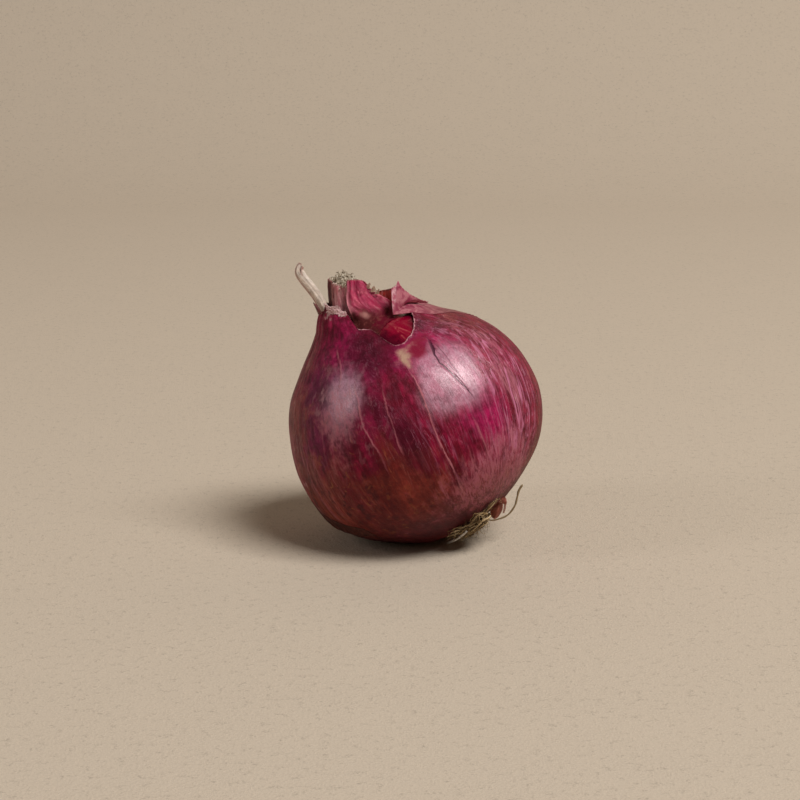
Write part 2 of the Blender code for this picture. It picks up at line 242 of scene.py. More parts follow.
# The torn rim: degrees and station
COAT_RIM = [(0, 0.662), (20, 0.672), (60, 0.730), (100, 0.785), (140, 0.810), (172, 0.822),
            (184, 0.800), (206, 0.798), (218, 0.822), (241, 0.806), (258, 0.792), (266, 0.785),
            (271, 0.776), (273.5, 0.755), (275.5, 0.705), (283, 0.688), (288, 0.676), (290, 0.620),
            (292, 0.594), (297, 0.580), (303, 0.583), (311, 0.595), (318, 0.608), (327, 0.632),
            (334, 0.646), (345, 0.655), (360, 0.662)]
COAT_ROOT_STATION = 0.075
COAT_COLUMNS = 440
COAT_ROWS = 165
COAT_INNER_ROWS = 40
MEAN_RADIUS = 36.0                 # mm, for lengths along the profile


def bell(value, middle, width):
    """A smooth bump of height 1."""
    return np.exp(-((value - middle) / width) ** 2)


def turned(degrees, start):
    """Degrees past a start, from -180 to 180."""
    return (degrees - start + 180.0) % 360.0 - 180.0


def curve_through(points, where):
    """A smooth curve through points, read at places from 0 to 1 along it."""
    along = np.clip(where, 0, 1) * (len(points) - 1)
    span = np.minimum(along.astype(int), len(points) - 2)
    t = (along - span).reshape(*span.shape, *[1] * (points.ndim - 1))
    a = points[np.maximum(span - 1, 0)]
    b = points[span]
    c = points[span + 1]
    d = points[np.minimum(span + 2, len(points) - 1)]
    bent = 2 * b + (c - a) * t + (2 * a - 5 * b + 4 * c - d) * t ** 2
    return 0.5 * (bent + (3 * b - a - 3 * c + d) * t ** 3)


def outline(station, lift=0.0):
    """Radius and height of the profile at some stations, moved out by a lift."""
    station = np.asarray(station, float)
    ahead = curve_through(OUTLINE, station + 0.004) - curve_through(OUTLINE, station - 0.004)
    ahead /= np.linalg.norm(ahead, axis=-1, keepdims=True)
    outward = np.stack([ahead[..., 1], -ahead[..., 0]], -1)
    here = curve_through(OUTLINE, station) * BULB_RADIUS + outward * np.asarray(lift)[..., None]
    return np.maximum(here[..., 0], 0.0), here[..., 1]


def polar_of(station):
    """Degrees from the neck's axis, seen from the middle of the bulb."""
    radius, height = outline(station)
    return np.degrees(np.arctan2(radius, height))


def onion_surface(station, degrees, lift=0.0):
    """Points on the onion, as an array of x, y and z."""
    station, degrees, lift = np.broadcast_arrays(*(np.asarray(v, float) for v in (station, degrees, lift)))
    around = np.radians(degrees)
    radius, height = outline(station, lift)
    polar = np.arctan2(radius, height)
    skew = 0.031 * np.cos(around) * bell(polar, math.radians(44), math.radians(15))
    dip = 0.045 * 0.5 * (1 + np.cos(around)) * bell(polar, math.radians(17), math.radians(9))
    valley = 0.022 * bell(turned(degrees, 277), 0, 17) * np.sin(polar) ** 2
    under = 0.5 * (1 - np.cos(around)) * np.minimum(3 * np.sin(polar), 1.0)
    swell = 1 - skew - dip - valley + 0.045 * under * bell(polar, math.radians(158), math.radians(18))
    out = radius * np.cos(around) * swell
    deep = radius * np.sin(around) * swell * DEPTH_RATIO
    curve = NECK_BEND / (NECK_TOP - NECK_BEND_START)
    turn = np.maximum(height - NECK_BEND_START, 0.0) * curve
    across = (1 - np.cos(turn)) / curve + out * np.cos(turn)
    up = np.minimum(height, NECK_BEND_START) * swell + np.sin(turn) / curve - out * np.sin(turn)
    x = across * math.cos(LEAN) - up * math.sin(LEAN)
    z = across * math.sin(LEAN) + up * math.cos(LEAN)
    return np.stack([x, deep, z], -1) + np.array(CENTRE)


def ribs(degrees, station, low, high, seed, drift=25.0):
    """Lengthwise folds, from -1 to 1, between low and high folds round the onion."""
    rng = np.random.default_rng(seed)
    total = np.zeros(np.broadcast(degrees, station).shape)
    counts = rng.integers(low, high, 9)
    for count in counts:
        phase, sway, slow = rng.uniform(0, 360, 3)
        wander = drift * np.sin(np.radians(sway + station * 420)) / count * 4
        swell = 0.6 + 0.4 * np.sin(np.radians(slow + station * 700 + degrees * 2))
        total += swell * np.cos(np.radians(count * (degrees + wander) + phase))
    return total / math.sqrt(len(counts)) * 0.8


def coat_lift(degrees, station):
    """How far the folds of the coat stand out, in mm."""
    near_neck = np.clip((station - 0.52) / 0.26, 0, 1) ** 1.5
    folds = 0.035 * ribs(degrees, station, 24, 70, 5) + 0.10 * ribs(degrees, station, 5, 14, 9, 60)
    return folds + 0.22 * near_neck * ribs(degrees, station, 16, 38, 12)


def rim_table(pairs, degrees):
    """A smooth curve through (degrees, value) pairs that runs once round the onion."""
    where = np.array([p[0] for p in pairs], float)
    value = np.array([p[1] for p in pairs], float)
    fine = np.arange(0, 360.0, 0.25)
    read = np.interp(fine, where, value)
    window = np.hanning(13)
    window /= window.sum()
    smooth = np.convolve(np.concatenate([read[-6:], read, read[:6]]), window, "valid")
    return np.interp(np.asarray(degrees) % 360.0, np.append(fine, 360.0), np.append(smooth, smooth[0]))


def ragged(degrees, seed, scale=1.0):
    """Uneven tearing along an edge, from about -1 to 1."""
    rng = np.random.default_rng(seed)
    total = np.zeros(np.shape(degrees))
    for count, size in ((23, 0.5), (51, 0.35), (97, 0.22), (173, 0.14)):
        phase = rng.uniform(0, 360)
        wave = np.abs(np.sin(np.radians(count * scale * np.asarray(degrees) / 2 + phase)))
        total += size * (wave - 0.5)
    return total


def add_piece(name, points, faces, finish, values=None):
    """Make a mesh piece from points and faces, with values on its points."""
    mesh = bpy.data.meshes.new(name)
    mesh.from_pydata(np.asarray(points).reshape(-1, 3).tolist(), [], faces)
    mesh.validate()
    mesh.update()
    for key, value in (values or {}).items():
        value = np.asarray(value, np.float32)
        kind, field = ("FLOAT", "value") if value.ndim == 1 else ("FLOAT_VECTOR", "vector")
        mesh.attributes.new(key, kind, "POINT").data.foreach_set(field, value.ravel())
    mesh.shade_smooth()
    mesh.set_sharp_from_angle(angle=math.radians(55))
    mesh.materials.append(finish)
    thing = bpy.data.objects.new(name, mesh)
    bpy.context.scene.collection.objects.link(thing)
    return thing


def grid_faces(rows, columns, first=0, closed=False, flip=False):
    """Faces of a grid of points, which may close round on itself."""
    found = []
    for row in range(rows - 1):
        for column in range(columns if closed else columns - 1):
            a = first + row * columns + column
            b = first + row * columns + (column + 1) % columns
            face = (a, b, b + columns, a + columns)
            found.append(face[::-1] if flip else face)
    return found


def drum_faces(rows, columns):
    """Faces of a pile of rings, closed at both ends."""
    first = tuple(range(columns))[::-1]
    last = tuple(range((rows - 1) * columns, rows * columns))
    return grid_faces(rows, columns, closed=True) + [first, last]


def mark(polar, degrees, radius, at, size):
    """A soft oval mark: at (polar, degrees), with half sizes in mm along and across."""
    along = np.radians(polar - at[0]) * MEAN_RADIUS
    across = np.radians(turned(degrees, at[1])) * radius / MM
    return np.exp(-(along / size[0]) ** 2 - (across / size[1]) ** 2)


def lines(polar, degrees, radius, routes):
    """Distance in mm to the nearest of some lengthwise lines, and how strongly it shows."""
    nearest = np.full(polar.shape, 99.0)
    show = np.zeros(polar.shape)
    for strength, route in routes:
        where = np.array([p[0] for p in route], float)
        middle = np.interp(polar, where, [p[1] for p in route])
        distance = np.radians(turned(degrees, middle)) * radius / MM
        ends = np.minimum(polar - where[0], where[-1] - polar)
        seen = strength * np.clip(ends / 5.0 + 0.2, 0, 1)
        distance = np.where(ends < -1.0, 99.0, distance)
        closer = np.abs(distance) < np.abs(nearest)
        nearest = np.where(closer, distance, nearest)
        show = np.where(closer, seen, show)
    return nearest, show


# Veins and cracks: how strongly each shows, and its route as (polar, degrees)
VEINS = [
    (1.0, [(50, 289.5), (56, 288.5), (61, 288), (70, 286), (80, 283.5), (88, 282), (102, 281), (120, 280)]),
    (0.8, [(48, 257.5), (56, 257), (62, 256), (68, 255.3), (74, 256), (82, 257), (90, 256)]),
    (0.55, [(56, 271.5), (61, 270), (66, 268.5), (72, 268), (81, 266), (86, 266)]),
    (0.6, [(24, 246), (30, 248.5), (35, 250), (41, 249.5), (47, 247)]),
    (0.5, [(56, 319), (66, 324), (76, 325), (90, 323), (104, 320)]),
    (0.45, [(60, 330), (72, 333), (84, 333), (98, 329)]),
    (0.5, [(88, 300), (98, 299), (110, 298), (124, 297)]),
    (0.4, [(92, 315), (104, 313), (118, 311)]),
    (0.4, [(60, 232), (72, 229), (84, 229), (92, 231)]),
    (0.45, [(70, 214), (84, 212), (96, 213)]),
]
SMALL_VEINS = 26
REAR_VEINS = 20                    # how many of them run over the back and the sides
rng = random.Random(21)
for number in range(SMALL_VEINS):
    start = rng.uniform(345, 560) if number < REAR_VEINS else rng.uniform(200, 225)
    top = rng.uniform(42, 80)
    length = rng.uniform(18, 55)
    VEINS.append((rng.uniform(0.25, 0.8), [(top + length * step / 4, start + rng.uniform(-2.0, 2.0))
                                           for step in range(5)]))
CRACKS = [
    (1.0, [(46, 313), (51, 309.5), (55, 306), (60, 304), (66, 304.5), (72, 304.6), (78, 305.4), (82, 305)]),
    (0.45, [(50, 312), (57, 310.3), (63, 308.3), (70, 307), (76, 306.6)]),
]

column_degrees = 90 + 360.0 * np.arange(COAT_COLUMNS) / COAT_COLUMNS
share = np.linspace(0, 1, COAT_ROWS)[:, None]
torn = 0.0055 * ragged(column_degrees, 3)
torn += 0.004 * bell(turned(column_degrees, 270), 0, 40) * ragged(column_degrees, 8, 2)
rim = rim_table(COAT_RIM, column_degrees) + torn
station = COAT_ROOT_STATION + (rim - COAT_ROOT_STATION) * share
degrees = np.broadcast_to(column_degrees, station.shape)
polar = polar_of(station)
radius = outline(station)[0]
vein, vein_show = lines(polar, degrees, radius, VEINS)
crack, crack_show = lines(polar, degrees, radius, CRACKS)
crack_width = 0.19 + 0.85 * bell(polar, 50.5, 4) * (crack_show > 0.5) + 0.10 * bell(polar, 62, 6)
flat_coat = onion_surface(station, degrees)
steps = np.linalg.norm(np.diff(flat_coat, axis=0), axis=-1)
rim_distance = np.vstack([np.cumsum(steps[::-1], axis=0)[::-1], np.zeros((1, COAT_COLUMNS))]) / MM
near_root = np.clip((0.2 - station) / 0.12, 0, 1)
lift = coat_lift(degrees, station) + 0.15 * near_root * ribs(degrees, station, 14, 30, 14)
lift += 0.07 * vein_show * bell(vein, 0, 0.55)
lift -= 0.22 * crack_show * bell(crack, 0, 0.5)
lift += 0.12 * crack_show * bell(crack, -0.9, 0.6)
curl = bell(rim_distance, 0, 0.7)
lift += curl * (0.10 + 0.20 * ragged(degrees, 31))
outer = onion_surface(station, degrees, lift * MM)
outer[..., 2] = np.maximum(outer[..., 2], coat_low[2])
pick = np.round(np.linspace(1, 0, COAT_INNER_ROWS) * (COAT_ROWS - 1)).astype(int)
inner = onion_surface(station[pick], degrees[pick], lift[pick] * MM - COAT_THICKNESS)
inner[..., 2] = np.maximum(inner[..., 2], coat_low[2] + COAT_THICKNESS)
coat_faces = grid_faces(COAT_ROWS + COAT_INNER_ROWS, COAT_COLUMNS, closed=True)
count = (COAT_ROWS + COAT_INNER_ROWS) * COAT_COLUMNS
coat_faces += [(count - COAT_COLUMNS + n, count - COAT_COLUMNS + (n + 1) % COAT_COLUMNS,
                (n + 1) % COAT_COLUMNS, n) for n in range(COAT_COLUMNS)]


def both(value):
    """A value on the outer face, and its copy on the inner face."""
    return np.concatenate([value, value[pick]]).reshape(-1, *value.shape[2:])


# Where colours, wear and painted light and shade belong: (strength, polar, degrees, half length, half width
# in mm)
COAT_AREAS = {
    "brown": [(0.75, 112, 232, 26, 22), (0.6, 83, 261, 9, 6), (0.32, 60, 340, 24, 9), (0.3, 50, 352, 9, 11),
              (0.35, 74, 205, 30, 10), (0.5, 60, 274, 6, 3)],
    "magenta": [(0.72, 92, 308, 12, 9), (0.8, 60, 300, 14, 12), (0.8, 47, 311, 8, 11), (0.7, 76, 336, 12, 6),
                (0.30, 20, 262, 6, 4), (0.35, 64, 90, 22, 26), (0.35, 80, 30, 22, 14), (0.6, 44, 268, 7, 3),
                (0.6, 30, 247, 11, 6)],
    # Dark: darker skin, and painted shade in the valley between the lobes, in the hollow below the neck, low
    # on the left and under the bulb
    "dark": [(0.9, 36, 274, 10, 8), (0.8, 80, 270, 12, 6), (1.0, 36, 316, 4, 7), (0.6, 46, 330, 2.6, 7),
             (0.15, 104, 240, 9, 9), (0.9, 134, 240, 12, 44), (0.5, 60, 262, 5, 4), (0.6, 46, 236, 7, 4),
             (0.4, 90, 232, 10, 9), (0.5, 74, 212, 12, 5), (0.5, 92, 324, 6, 3)],
    "purple": [(1.0, 46, 240, 13, 11), (0.8, 60, 222, 14, 8), (0.2, 76, 262, 10, 5), (0.3, 50, 130, 16, 18)],
    # Dusty: a pale bloom on the skin, laid where the lights reflect on the two lobes, so it is partly painted
    # highlight
    "dusty": [(1.2, 67, 301, 6, 6.5), (1.2, 62, 311, 6, 5.5), (0.6, 56, 298, 4, 4), (0.6, 69, 293, 5, 4),
              (0.95, 50, 248, 7, 5), (0.5, 62, 242, 8, 6), (0.5, 48, 256, 7, 4), (0.6, 77, 297, 4, 8),
              (0.6, 76, 306, 6, 5), (0.4, 71, 286, 4, 3), (0.25, 86, 318, 8, 6)],
    "shine": [(1.0, 63, 305, 13, 12), (0.8, 55, 247, 12, 8), (0.5, 76, 328, 18, 10), (0.4, 60, 120, 20, 34)],
    "pink": [(1.2, 84, 326, 13, 8), (0.9, 68, 338, 13, 6), (0.6, 98, 324, 12, 6), (0.5, 46, 322, 6, 6),
             (0.3, 118, 292, 12, 14), (0.25, 90, 282, 14, 7), (0.3, 110, 318, 14, 9), (0.3, 84, 220, 16, 8)],
    "rosy": [(1.0, 60, 243, 10, 7), (0.2, 80, 238, 10, 8), (1.4, 86, 327, 7, 3.5), (1.0, 118, 290, 11, 14),
             (0.8, 116, 312, 14, 10), (0.4, 70, 336, 10, 4), (0.5, 58, 338, 14, 6), (0.5, 50, 290, 3, 4)],
    "beige": [(1.0, 46.5, 292.5, 2.8, 1.8), (0.9, 51.5, 290, 2.6, 0.9), (0.5, 44, 299, 1.2, 3.0)],
    "ruby": [(1.2, 48.5, 300, 2.4, 2.4), (0.8, 44, 308, 2.4, 4.5), (0.35, 50, 304, 2.5, 4)],
    "mottled": [(1.0, 30, 246, 20, 14), (0.8, 66, 236, 26, 20), (0.7, 100, 238, 26, 24),
                (0.5, 50, 275, 14, 8)],
    "freckled": [(1.0, 92, 232, 18, 14), (0.6, 84, 206, 14, 6), (0.5, 116, 270, 9, 14)],
    "scuffed": [(1.0, 80, 201, 12, 3.2), (0.5, 47, 232, 8, 3), (0.35, 58, 252, 14, 9)],
    "torn": [(0.75, 9.5, 256, 1.1, 2.6), (0.7, 12, 266, 2.0, 0.9), (0.55, 11, 228, 1.6, 2.4)],
}


def covered(areas, polar, degrees, radius):
    """How strongly each point lies in some soft oval areas, from 0 to 1."""
    total = np.zeros(polar.shape)
    for strength, at_polar, at_degrees, long, wide in areas:
        total += strength * mark(polar, degrees, radius, (at_polar, at_degrees), (long, wide))
    return np.clip(total, 0, 1)


twist = 0.45 * bell(turned(degrees, 328), 0, 45) * np.clip(polar - 52, 0, 70)
around = np.radians(degrees + twist)
slim = np.clip(radius / BULB_RADIUS, 0.05, 1) ** 0.55
streak = np.stack([slim * np.cos(around), slim * np.sin(around), station * 0.55], -1)
low_down = np.clip((polar - 82) / 38, 0, 1) * 0.85
coat_values = {name: both(covered(areas, polar, degrees, radius)) for name, areas in COAT_AREAS.items()}
brown = covered(COAT_AREAS["brown"], polar, degrees, radius) + low_down
brown -= 0.65 * mark(polar, degrees, radius, (100, 312), (17, 12))
brown -= 0.4 * mark(polar, degrees, radius, (84, 328), (14, 8))
coat_values.update({"brown": both(np.clip(brown, 0, 1)), "streak": both(streak), "rim": both(rim_distance),
                    "vein": both(vein), "vein_show": both(vein_show),
                    "crack": both(crack / crack_width), "crack_show": both(crack_show)})


def mask(tree, name):
    """A value on the piece's points."""
    return add_node(tree, "Attribute", {}, attribute_name=name).outputs["Fac"]


def spread(vector, scale):
    """A place stretched by three factors."""
    return add_node(vector.id_data, "Mapping", {"Vector": vector, "Scale": scale}).outputs[0]


def centred(value, size):
    """A noise value moved to lie round zero, times a size."""
    return calc("MULTIPLY", calc("SUBTRACT", value, 0.5), size)


def times(*values):
    """The product of some values."""
    total = values[0]
    for value in values[1:]:
        total = calc("MULTIPLY", total, value)
    return total


def plus(*values):
    """The sum of some values."""
    total = values[0]
    for value in values[1:]:
        total = calc("ADD", total, value)
    return total


def size_of(value):
    """A value without its sign."""
    return calc("ABSOLUTE", value)


coat_finish, tree, shader = new_finish("dry_coat", Specular_IOR_Level=0.5, Coat_IOR=1.6,
                                       Specular_Tint=(1.0, 0.20, 0.32, 1.0), Coat_Roughness=0.28)
place = object_place(tree)
along = add_node(tree, "Attribute", {}, attribute_name="streak").outputs["Vector"]
broad = noise(spread(along, (9, 9, 14)), 1.0, 3, 0.55, 0.8)
lengthwise = noise(spread(along, (26, 26, 34)), 1.0, 4, 0.6, 1.1)
fine = noise(spread(along, (110, 110, 100)), 1.0, 3, 0.6, 0.9)
hair = noise(spread(along, (330, 330, 180)), 1.0, 2, 0.6)
cloud = noise(place, 150, 4, 0.62, 0.6)
blotch = noise(place, 60, 3, 0.55, 0.6)
mottle = noise(place, 520, 4, 0.65, 0.4)
calm = mask(tree, "mottled")
wobble = plus(times(centred(lengthwise, 0.9), fade(calm, 0, 1, 1.0, 0.3)),
              times(centred(cloud, 1.5), calm), centred(blotch, 1.0), centred(mottle, 0.4))

colour = mix(fade(broad, 0.40, 0.60), (0.130, 0.0030, 0.014), (0.240, 0.0060, 0.036))
colour = mix(times(mask(tree, "purple"), 0.85), colour, (0.135, 0.008, 0.062))
bright = fade(plus(mask(tree, "magenta"), wobble), 0.25, 0.95)
colour = mix(bright, colour, (0.335, 0.0045, 0.074))
plum = fade(plus(cloud, centred(lengthwise, 0.5)), 0.52, 0.66)
colour = mix(times(plum, 0.6), colour, (0.070, 0.0030, 0.020))
rust = fade(plus(mask(tree, "brown"), wobble), 0.15, 0.85)
rusty = mix(fade(blotch, 0.38, 0.66), (0.100, 0.0115, 0.0085), (0.18, 0.028, 0.016))
rusty = mix(fade(lengthwise, 0.54, 0.72, 0, 0.6), rusty, (0.23, 0.060, 0.030))
colour = mix(rust, colour, rusty)
# Painted shade together with darker skin: the dark areas darken the colour
darker_and_shaded = fade(plus(mask(tree, "dark"), times(wobble, 0.8)), 0.15, 0.85)
colour = mix(times(darker_and_shaded, 0.8), colour, (0.036, 0.002, 0.008))
soft_bands = noise(spread(along, (16, 16, 8)), 1.0, 2, 0.5, 0.5)
shade = times(fade(lengthwise, 0.32, 0.68, 0.86, 1.13), fade(fine, 0.3, 0.7, 0.93, 1.06),
              fade(hair, 0.3, 0.7, 0.95, 1.05), fade(cloud, 0.30, 0.70, 0.66, 1.34),
              fade(mottle, 0.3, 0.7, 0.76, 1.25), fade(soft_bands, 0.35, 0.65, 0.78, 1.20))
gray = add_node(tree, "CombineColor", {0: shade, 1: shade, 2: shade}).outputs[0]
colour = mix(1.0, colour, gray, "MULTIPLY")

# Painted highlight: a whitish-pink bloom over the places where the lights reflect, partly real dust on the
# skin
dust_and_highlight = fade(plus(mask(tree, "dusty"), times(wobble, 0.6)), 0.10, 1.20)
dust_and_highlight = times(dust_and_highlight, fade(plus(fine, centred(mottle, 0.8)), 0.25, 0.75, 0.30, 0.75))
colour = mix(dust_and_highlight, colour, (0.66, 0.42, 0.53))
rosy = fade(plus(mask(tree, "rosy"), wobble), 0.3, 1.0)
brushed = fade(plus(lengthwise, centred(fine, 0.5), centred(mottle, 0.3)), 0.38, 0.62, 0.22, 0.92)
colour = mix(times(rosy, brushed), colour, (0.40, 0.110, 0.155))
pale = fade(noise(spread(along, (22, 22, 22)), 1.0, 3, 0.55, 1.2), 0.48, 0.68)
pale = times(pale, plus(0.03, times(mask(tree, "pink"), 0.85)))
colour = mix(pale, colour, mix(rust, (0.60, 0.19, 0.33), (0.38, 0.13, 0.10)))
winding = noise(spread(along, (20, 20, 14)), 1.0, 3, 0.55, 1.0)
thread = fade(size_of(calc("SUBTRACT", winding, 0.5)), 0.022, 0.004)
thread = times(thread, fade(cloud, 0.4, 0.6), plus(0.16, times(mask(tree, "pink"), 0.6)))
colour = mix(thread, colour, mix(rust, (0.60, 0.24, 0.35), (0.40, 0.16, 0.12)))

ragged_patch = plus(centred(cloud, 1.6), centred(mottle, 1.6))
ruby = fade(plus(mask(tree, "ruby"), times(ragged_patch, 0.8)), 0.1, 1.1)
colour = mix(ruby, colour, (0.235, 0.003, 0.032))
beige = fade(plus(mask(tree, "beige"), times(ragged_patch, 0.7)), 0.15, 1.15)
colour = mix(beige, colour, mix(beige, (0.42, 0.14, 0.17), (0.50, 0.31, 0.22)))

fades = fade(noise(spread(along, (14, 14, 22)), 1.0, 2, 0.5), 0.36, 0.58, 0.25, 1.0)
winds = plus(mask(tree, "vein"), centred(lengthwise, 1.3), centred(mottle, 0.5))
vein_line = times(fade(size_of(winds), 0.40, 0.06), mask(tree, "vein_show"), fades)
colour = mix(times(vein_line, 0.9), colour, (0.48, 0.16, 0.19))
# Painted shadow: a dark band along one side of each vein, as cast by its ridge
vein_shadow = fade(size_of(plus(winds, 0.42)), 0.40, 0.1)
vein_shadow = times(vein_shadow, mask(tree, "vein_show"), 0.2)
colour = mix(vein_shadow, colour, (0.05, 0.003, 0.012))
jagged = plus(mask(tree, "crack"), centred(cloud, 2.0), centred(mottle, 1.2))
crack_edge = fade(size_of(plus(jagged, 1.5)), 1.1, 0.3)
crack_edge = times(crack_edge, mask(tree, "crack_show"), 0.4)
colour = mix(crack_edge, colour, (0.46, 0.17, 0.25))
crack_line = times(fade(size_of(jagged), 1.1, 0.5), mask(tree, "crack_show"))
colour = mix(times(crack_line, 0.92), colour, (0.050, 0.004, 0.026))

ravel = centred(noise(place, 1400, 3), 1.2)
frayed = fade(plus(mask(tree, "rim"), ravel), 0.42, 0.10)
frayed = times(frayed, fade(plus(cloud, centred(mottle, 1.0)), 0.36, 0.60, 0.3, 1.0))
colour = mix(frayed, colour, (0.60, 0.31, 0.34))
bare = fade(plus(mask(tree, "torn"), ragged_patch), 0.45, 0.8)
colour = mix(times(bare, 0.9), colour, (0.58, 0.40, 0.38))
spots = fade(noise(place, 330, 2, 0.55), 0.57, 0.67)
colour = mix(times(spots, mask(tree, "freckled"), 0.8), colour, (0.020, 0.006, 0.006))
flecks = fade(noise(place, 420, 1, 0.5, 0.8), 0.66, 0.73)
colour = mix(times(flecks, mask(tree, "freckled"), 0.7), colour, (0.26, 0.085, 0.030))
scuffs = fade(noise(spread(place, (1, 1, 0.45)), 520, 2, 0.6), 0.56, 0.66)
colour = mix(times(scuffs, mask(tree, "scuffed"), 0.75), colour, (0.50, 0.27, 0.29))

shine = fade(plus(mask(tree, "shine"), times(wobble, 0.6)), 0.0, 1.1)
gloss = plus(fade(fine, 0.3, 0.7, -0.04, 0.04), fade(shine, 0, 1, 0.52, 0.34))
paint(shader, Base_Color=colour, Roughness=plus(gloss, times(beige, 0.25)), Coat_Weight=shine)
crinkle = noise(spread(along, (90, 90, 110)), 1.0, 3, 0.6, 1.2)
height = plus(times(fine, 0.5), times(hair, 0.2), times(cloud, 0.8),
              times(crinkle, 1.0), times(mottle, 0.8), times(vein_line, 0.4))
height = calc("SUBTRACT", height, times(crack_line, 1.2))
emboss(shader, height, 0.15 * MM, 0.9)
emboss(shader, height, 0.05 * MM, 0.9, "Coat Normal")

coat = add_piece("dry_coat", np.concatenate([outer, inner]), coat_faces, coat_finish, coat_values)
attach(coat, "root")
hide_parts("outer_skin")

# The fleshy bulb: the juicy scales and the stump of their neck, grown as one.  Through the
# tear its outermost scale shows deep red and wet, and dull olive-brown beside the neck; its
# red is painted lighter where light falls into the tear and darker in its shade, with thin
# painted highlights.  It is one closed shell just under the coat, pressed flat where the onion rests.
FLESH_TIP = 0.965
FLESH_COLUMNS = 260
FLESH_ROWS = 150
FLESH_BELOW = 0.65 * MM            # how far the flesh stays above the coat's resting spot
FLESH_AREAS = {
    # Bright: painted light, where light falls into the tear; outside it the red is painted in shade
    "bright": [(0.95, 33, 309, 6.0, 5.0), (0.6, 27, 318, 4, 4)],
    "olive": [(1.3, 21, 281, 3.2, 4.0), (0.8, 24, 287, 2.5, 2.2)],
    "blob": [(1.0, 20.5, 288, 1.0, 0.9)],
}
# Gleams: painted highlight lines on the wet scale
GLEAMS = [(0.9, [(26, 309), (30, 307), (34, 304.5), (39, 303)]),
          (0.7, [(29, 307.5), (33, 309.5), (37, 311), (40, 313)])]


def flesh_depth(station):
    """How far the flesh lies below the face of the coat, in mm."""
    low = np.clip((0.5 - station) / 0.1, 0, 1)
    high = np.clip((station - 0.60) / 0.08, 0, 1)
    return 0.62 + 0.33 * low + 0.70 * high + 2.0 * bell(station, 0.79, 0.065)


share = np.linspace(0.004, 1, FLESH_ROWS)[:, None]
column_degrees = 90 + 360.0 * np.arange(FLESH_COLUMNS) / FLESH_COLUMNS
station, degrees = np.broadcast_arrays(FLESH_TIP * share, column_degrees)
ripple = 0.06 * ribs(degrees, station, 20, 60, 41) * np.clip((station - 0.4) / 0.2, 0, 1)
flesh_points = onion_surface(station, degrees, (ripple - flesh_depth(station)) * MM)
flesh_points[..., 2] = np.maximum(flesh_points[..., 2], coat_low[2] + FLESH_BELOW)
polar = polar_of(station)
radius = outline(station)[0]
gleam, gleam_show = lines(polar, degrees, radius, GLEAMS)
around = np.radians(degrees)
streak = np.stack([np.cos(around), np.sin(around), station * 0.55], -1)
flesh_values = {name: covered(areas, polar, degrees, radius).ravel() for name, areas in FLESH_AREAS.items()}
flesh_values.update({"streak": streak.reshape(-1, 3), "gleam": gleam.ravel(),
                     "gleam_show": gleam_show.ravel()})

flesh_finish, tree, shader = new_finish("wet_scale", Specular_IOR_Level=0.5, Coat_Weight=0.25,
                                        Specular_Tint=(1.0, 0.15, 0.25, 1.0), Coat_Roughness=0.12)
place = object_place(tree)
along = add_node(tree, "Attribute", {}, attribute_name="streak").outputs["Vector"]
threads = noise(spread(along, (90, 90, 12)), 1.0, 3, 0.6, 0.3)
cloud = noise(place, 330, 4, 0.6, 0.5)
patchy = centred(cloud, 1.2)
# Painted light and shade: the red is lighter where the bright areas say light falls, dark elsewhere
bright = fade(plus(mask(tree, "bright"), patchy), 0.2, 0.95)
colour = mix(bright, (0.070, 0.0008, 0.010), (0.25, 0.0010, 0.022))
colour = mix(times(fade(threads, 0.55, 0.75), 0.35), colour, (0.34, 0.008, 0.035))
olive = fade(plus(mask(tree, "olive"), patchy), 0.25, 0.7)
colour = mix(olive, colour, mix(fade(cloud, 0.3, 0.7), (0.045, 0.018, 0.012), (0.13, 0.060, 0.036)))
blob = fade(plus(mask(tree, "blob"), patchy), 0.3, 1.1)
colour = mix(blob, colour, (0.44, 0.20, 0.17))
gleam_line = times(fade(size_of(mask(tree, "gleam")), 0.42, 0.05), mask(tree, "gleam_show"))
colour = mix(times(gleam_line, fade(cloud, 0.35, 0.6)), colour, (0.50, 0.10, 0.10))
paint(shader, Base_Color=colour, Roughness=plus(fade(cloud, 0.3, 0.7, 0.22, 0.34), times(olive, 0.3)))
emboss(shader, plus(threads, cloud), 0.08 * MM, 0.7)

flesh_faces = drum_faces(FLESH_ROWS, FLESH_COLUMNS)
flesh = add_piece("fleshy_bulb", flesh_points, flesh_faces, flesh_finish, flesh_values)
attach(flesh, "root")
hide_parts("bulb")

# The dry scales of the neck: four leftovers of leaves, wrapped one beside the other round
# the stump.  They are thin, folded lengthwise, ragged on top, and grown on at the bottom.
SCALE_THICKNESS = 0.22 * MM
SCALE_ABOVE_FLESH = 0.775          # mm from the flesh to a scale's outer face


def facing(points):
    """Unit normals of a grid of points."""
    normal = np.cross(np.gradient(points, axis=1), np.gradient(points, axis=0))
    return normal / np.maximum(np.linalg.norm(normal, axis=-1, keepdims=True), 1e-12)


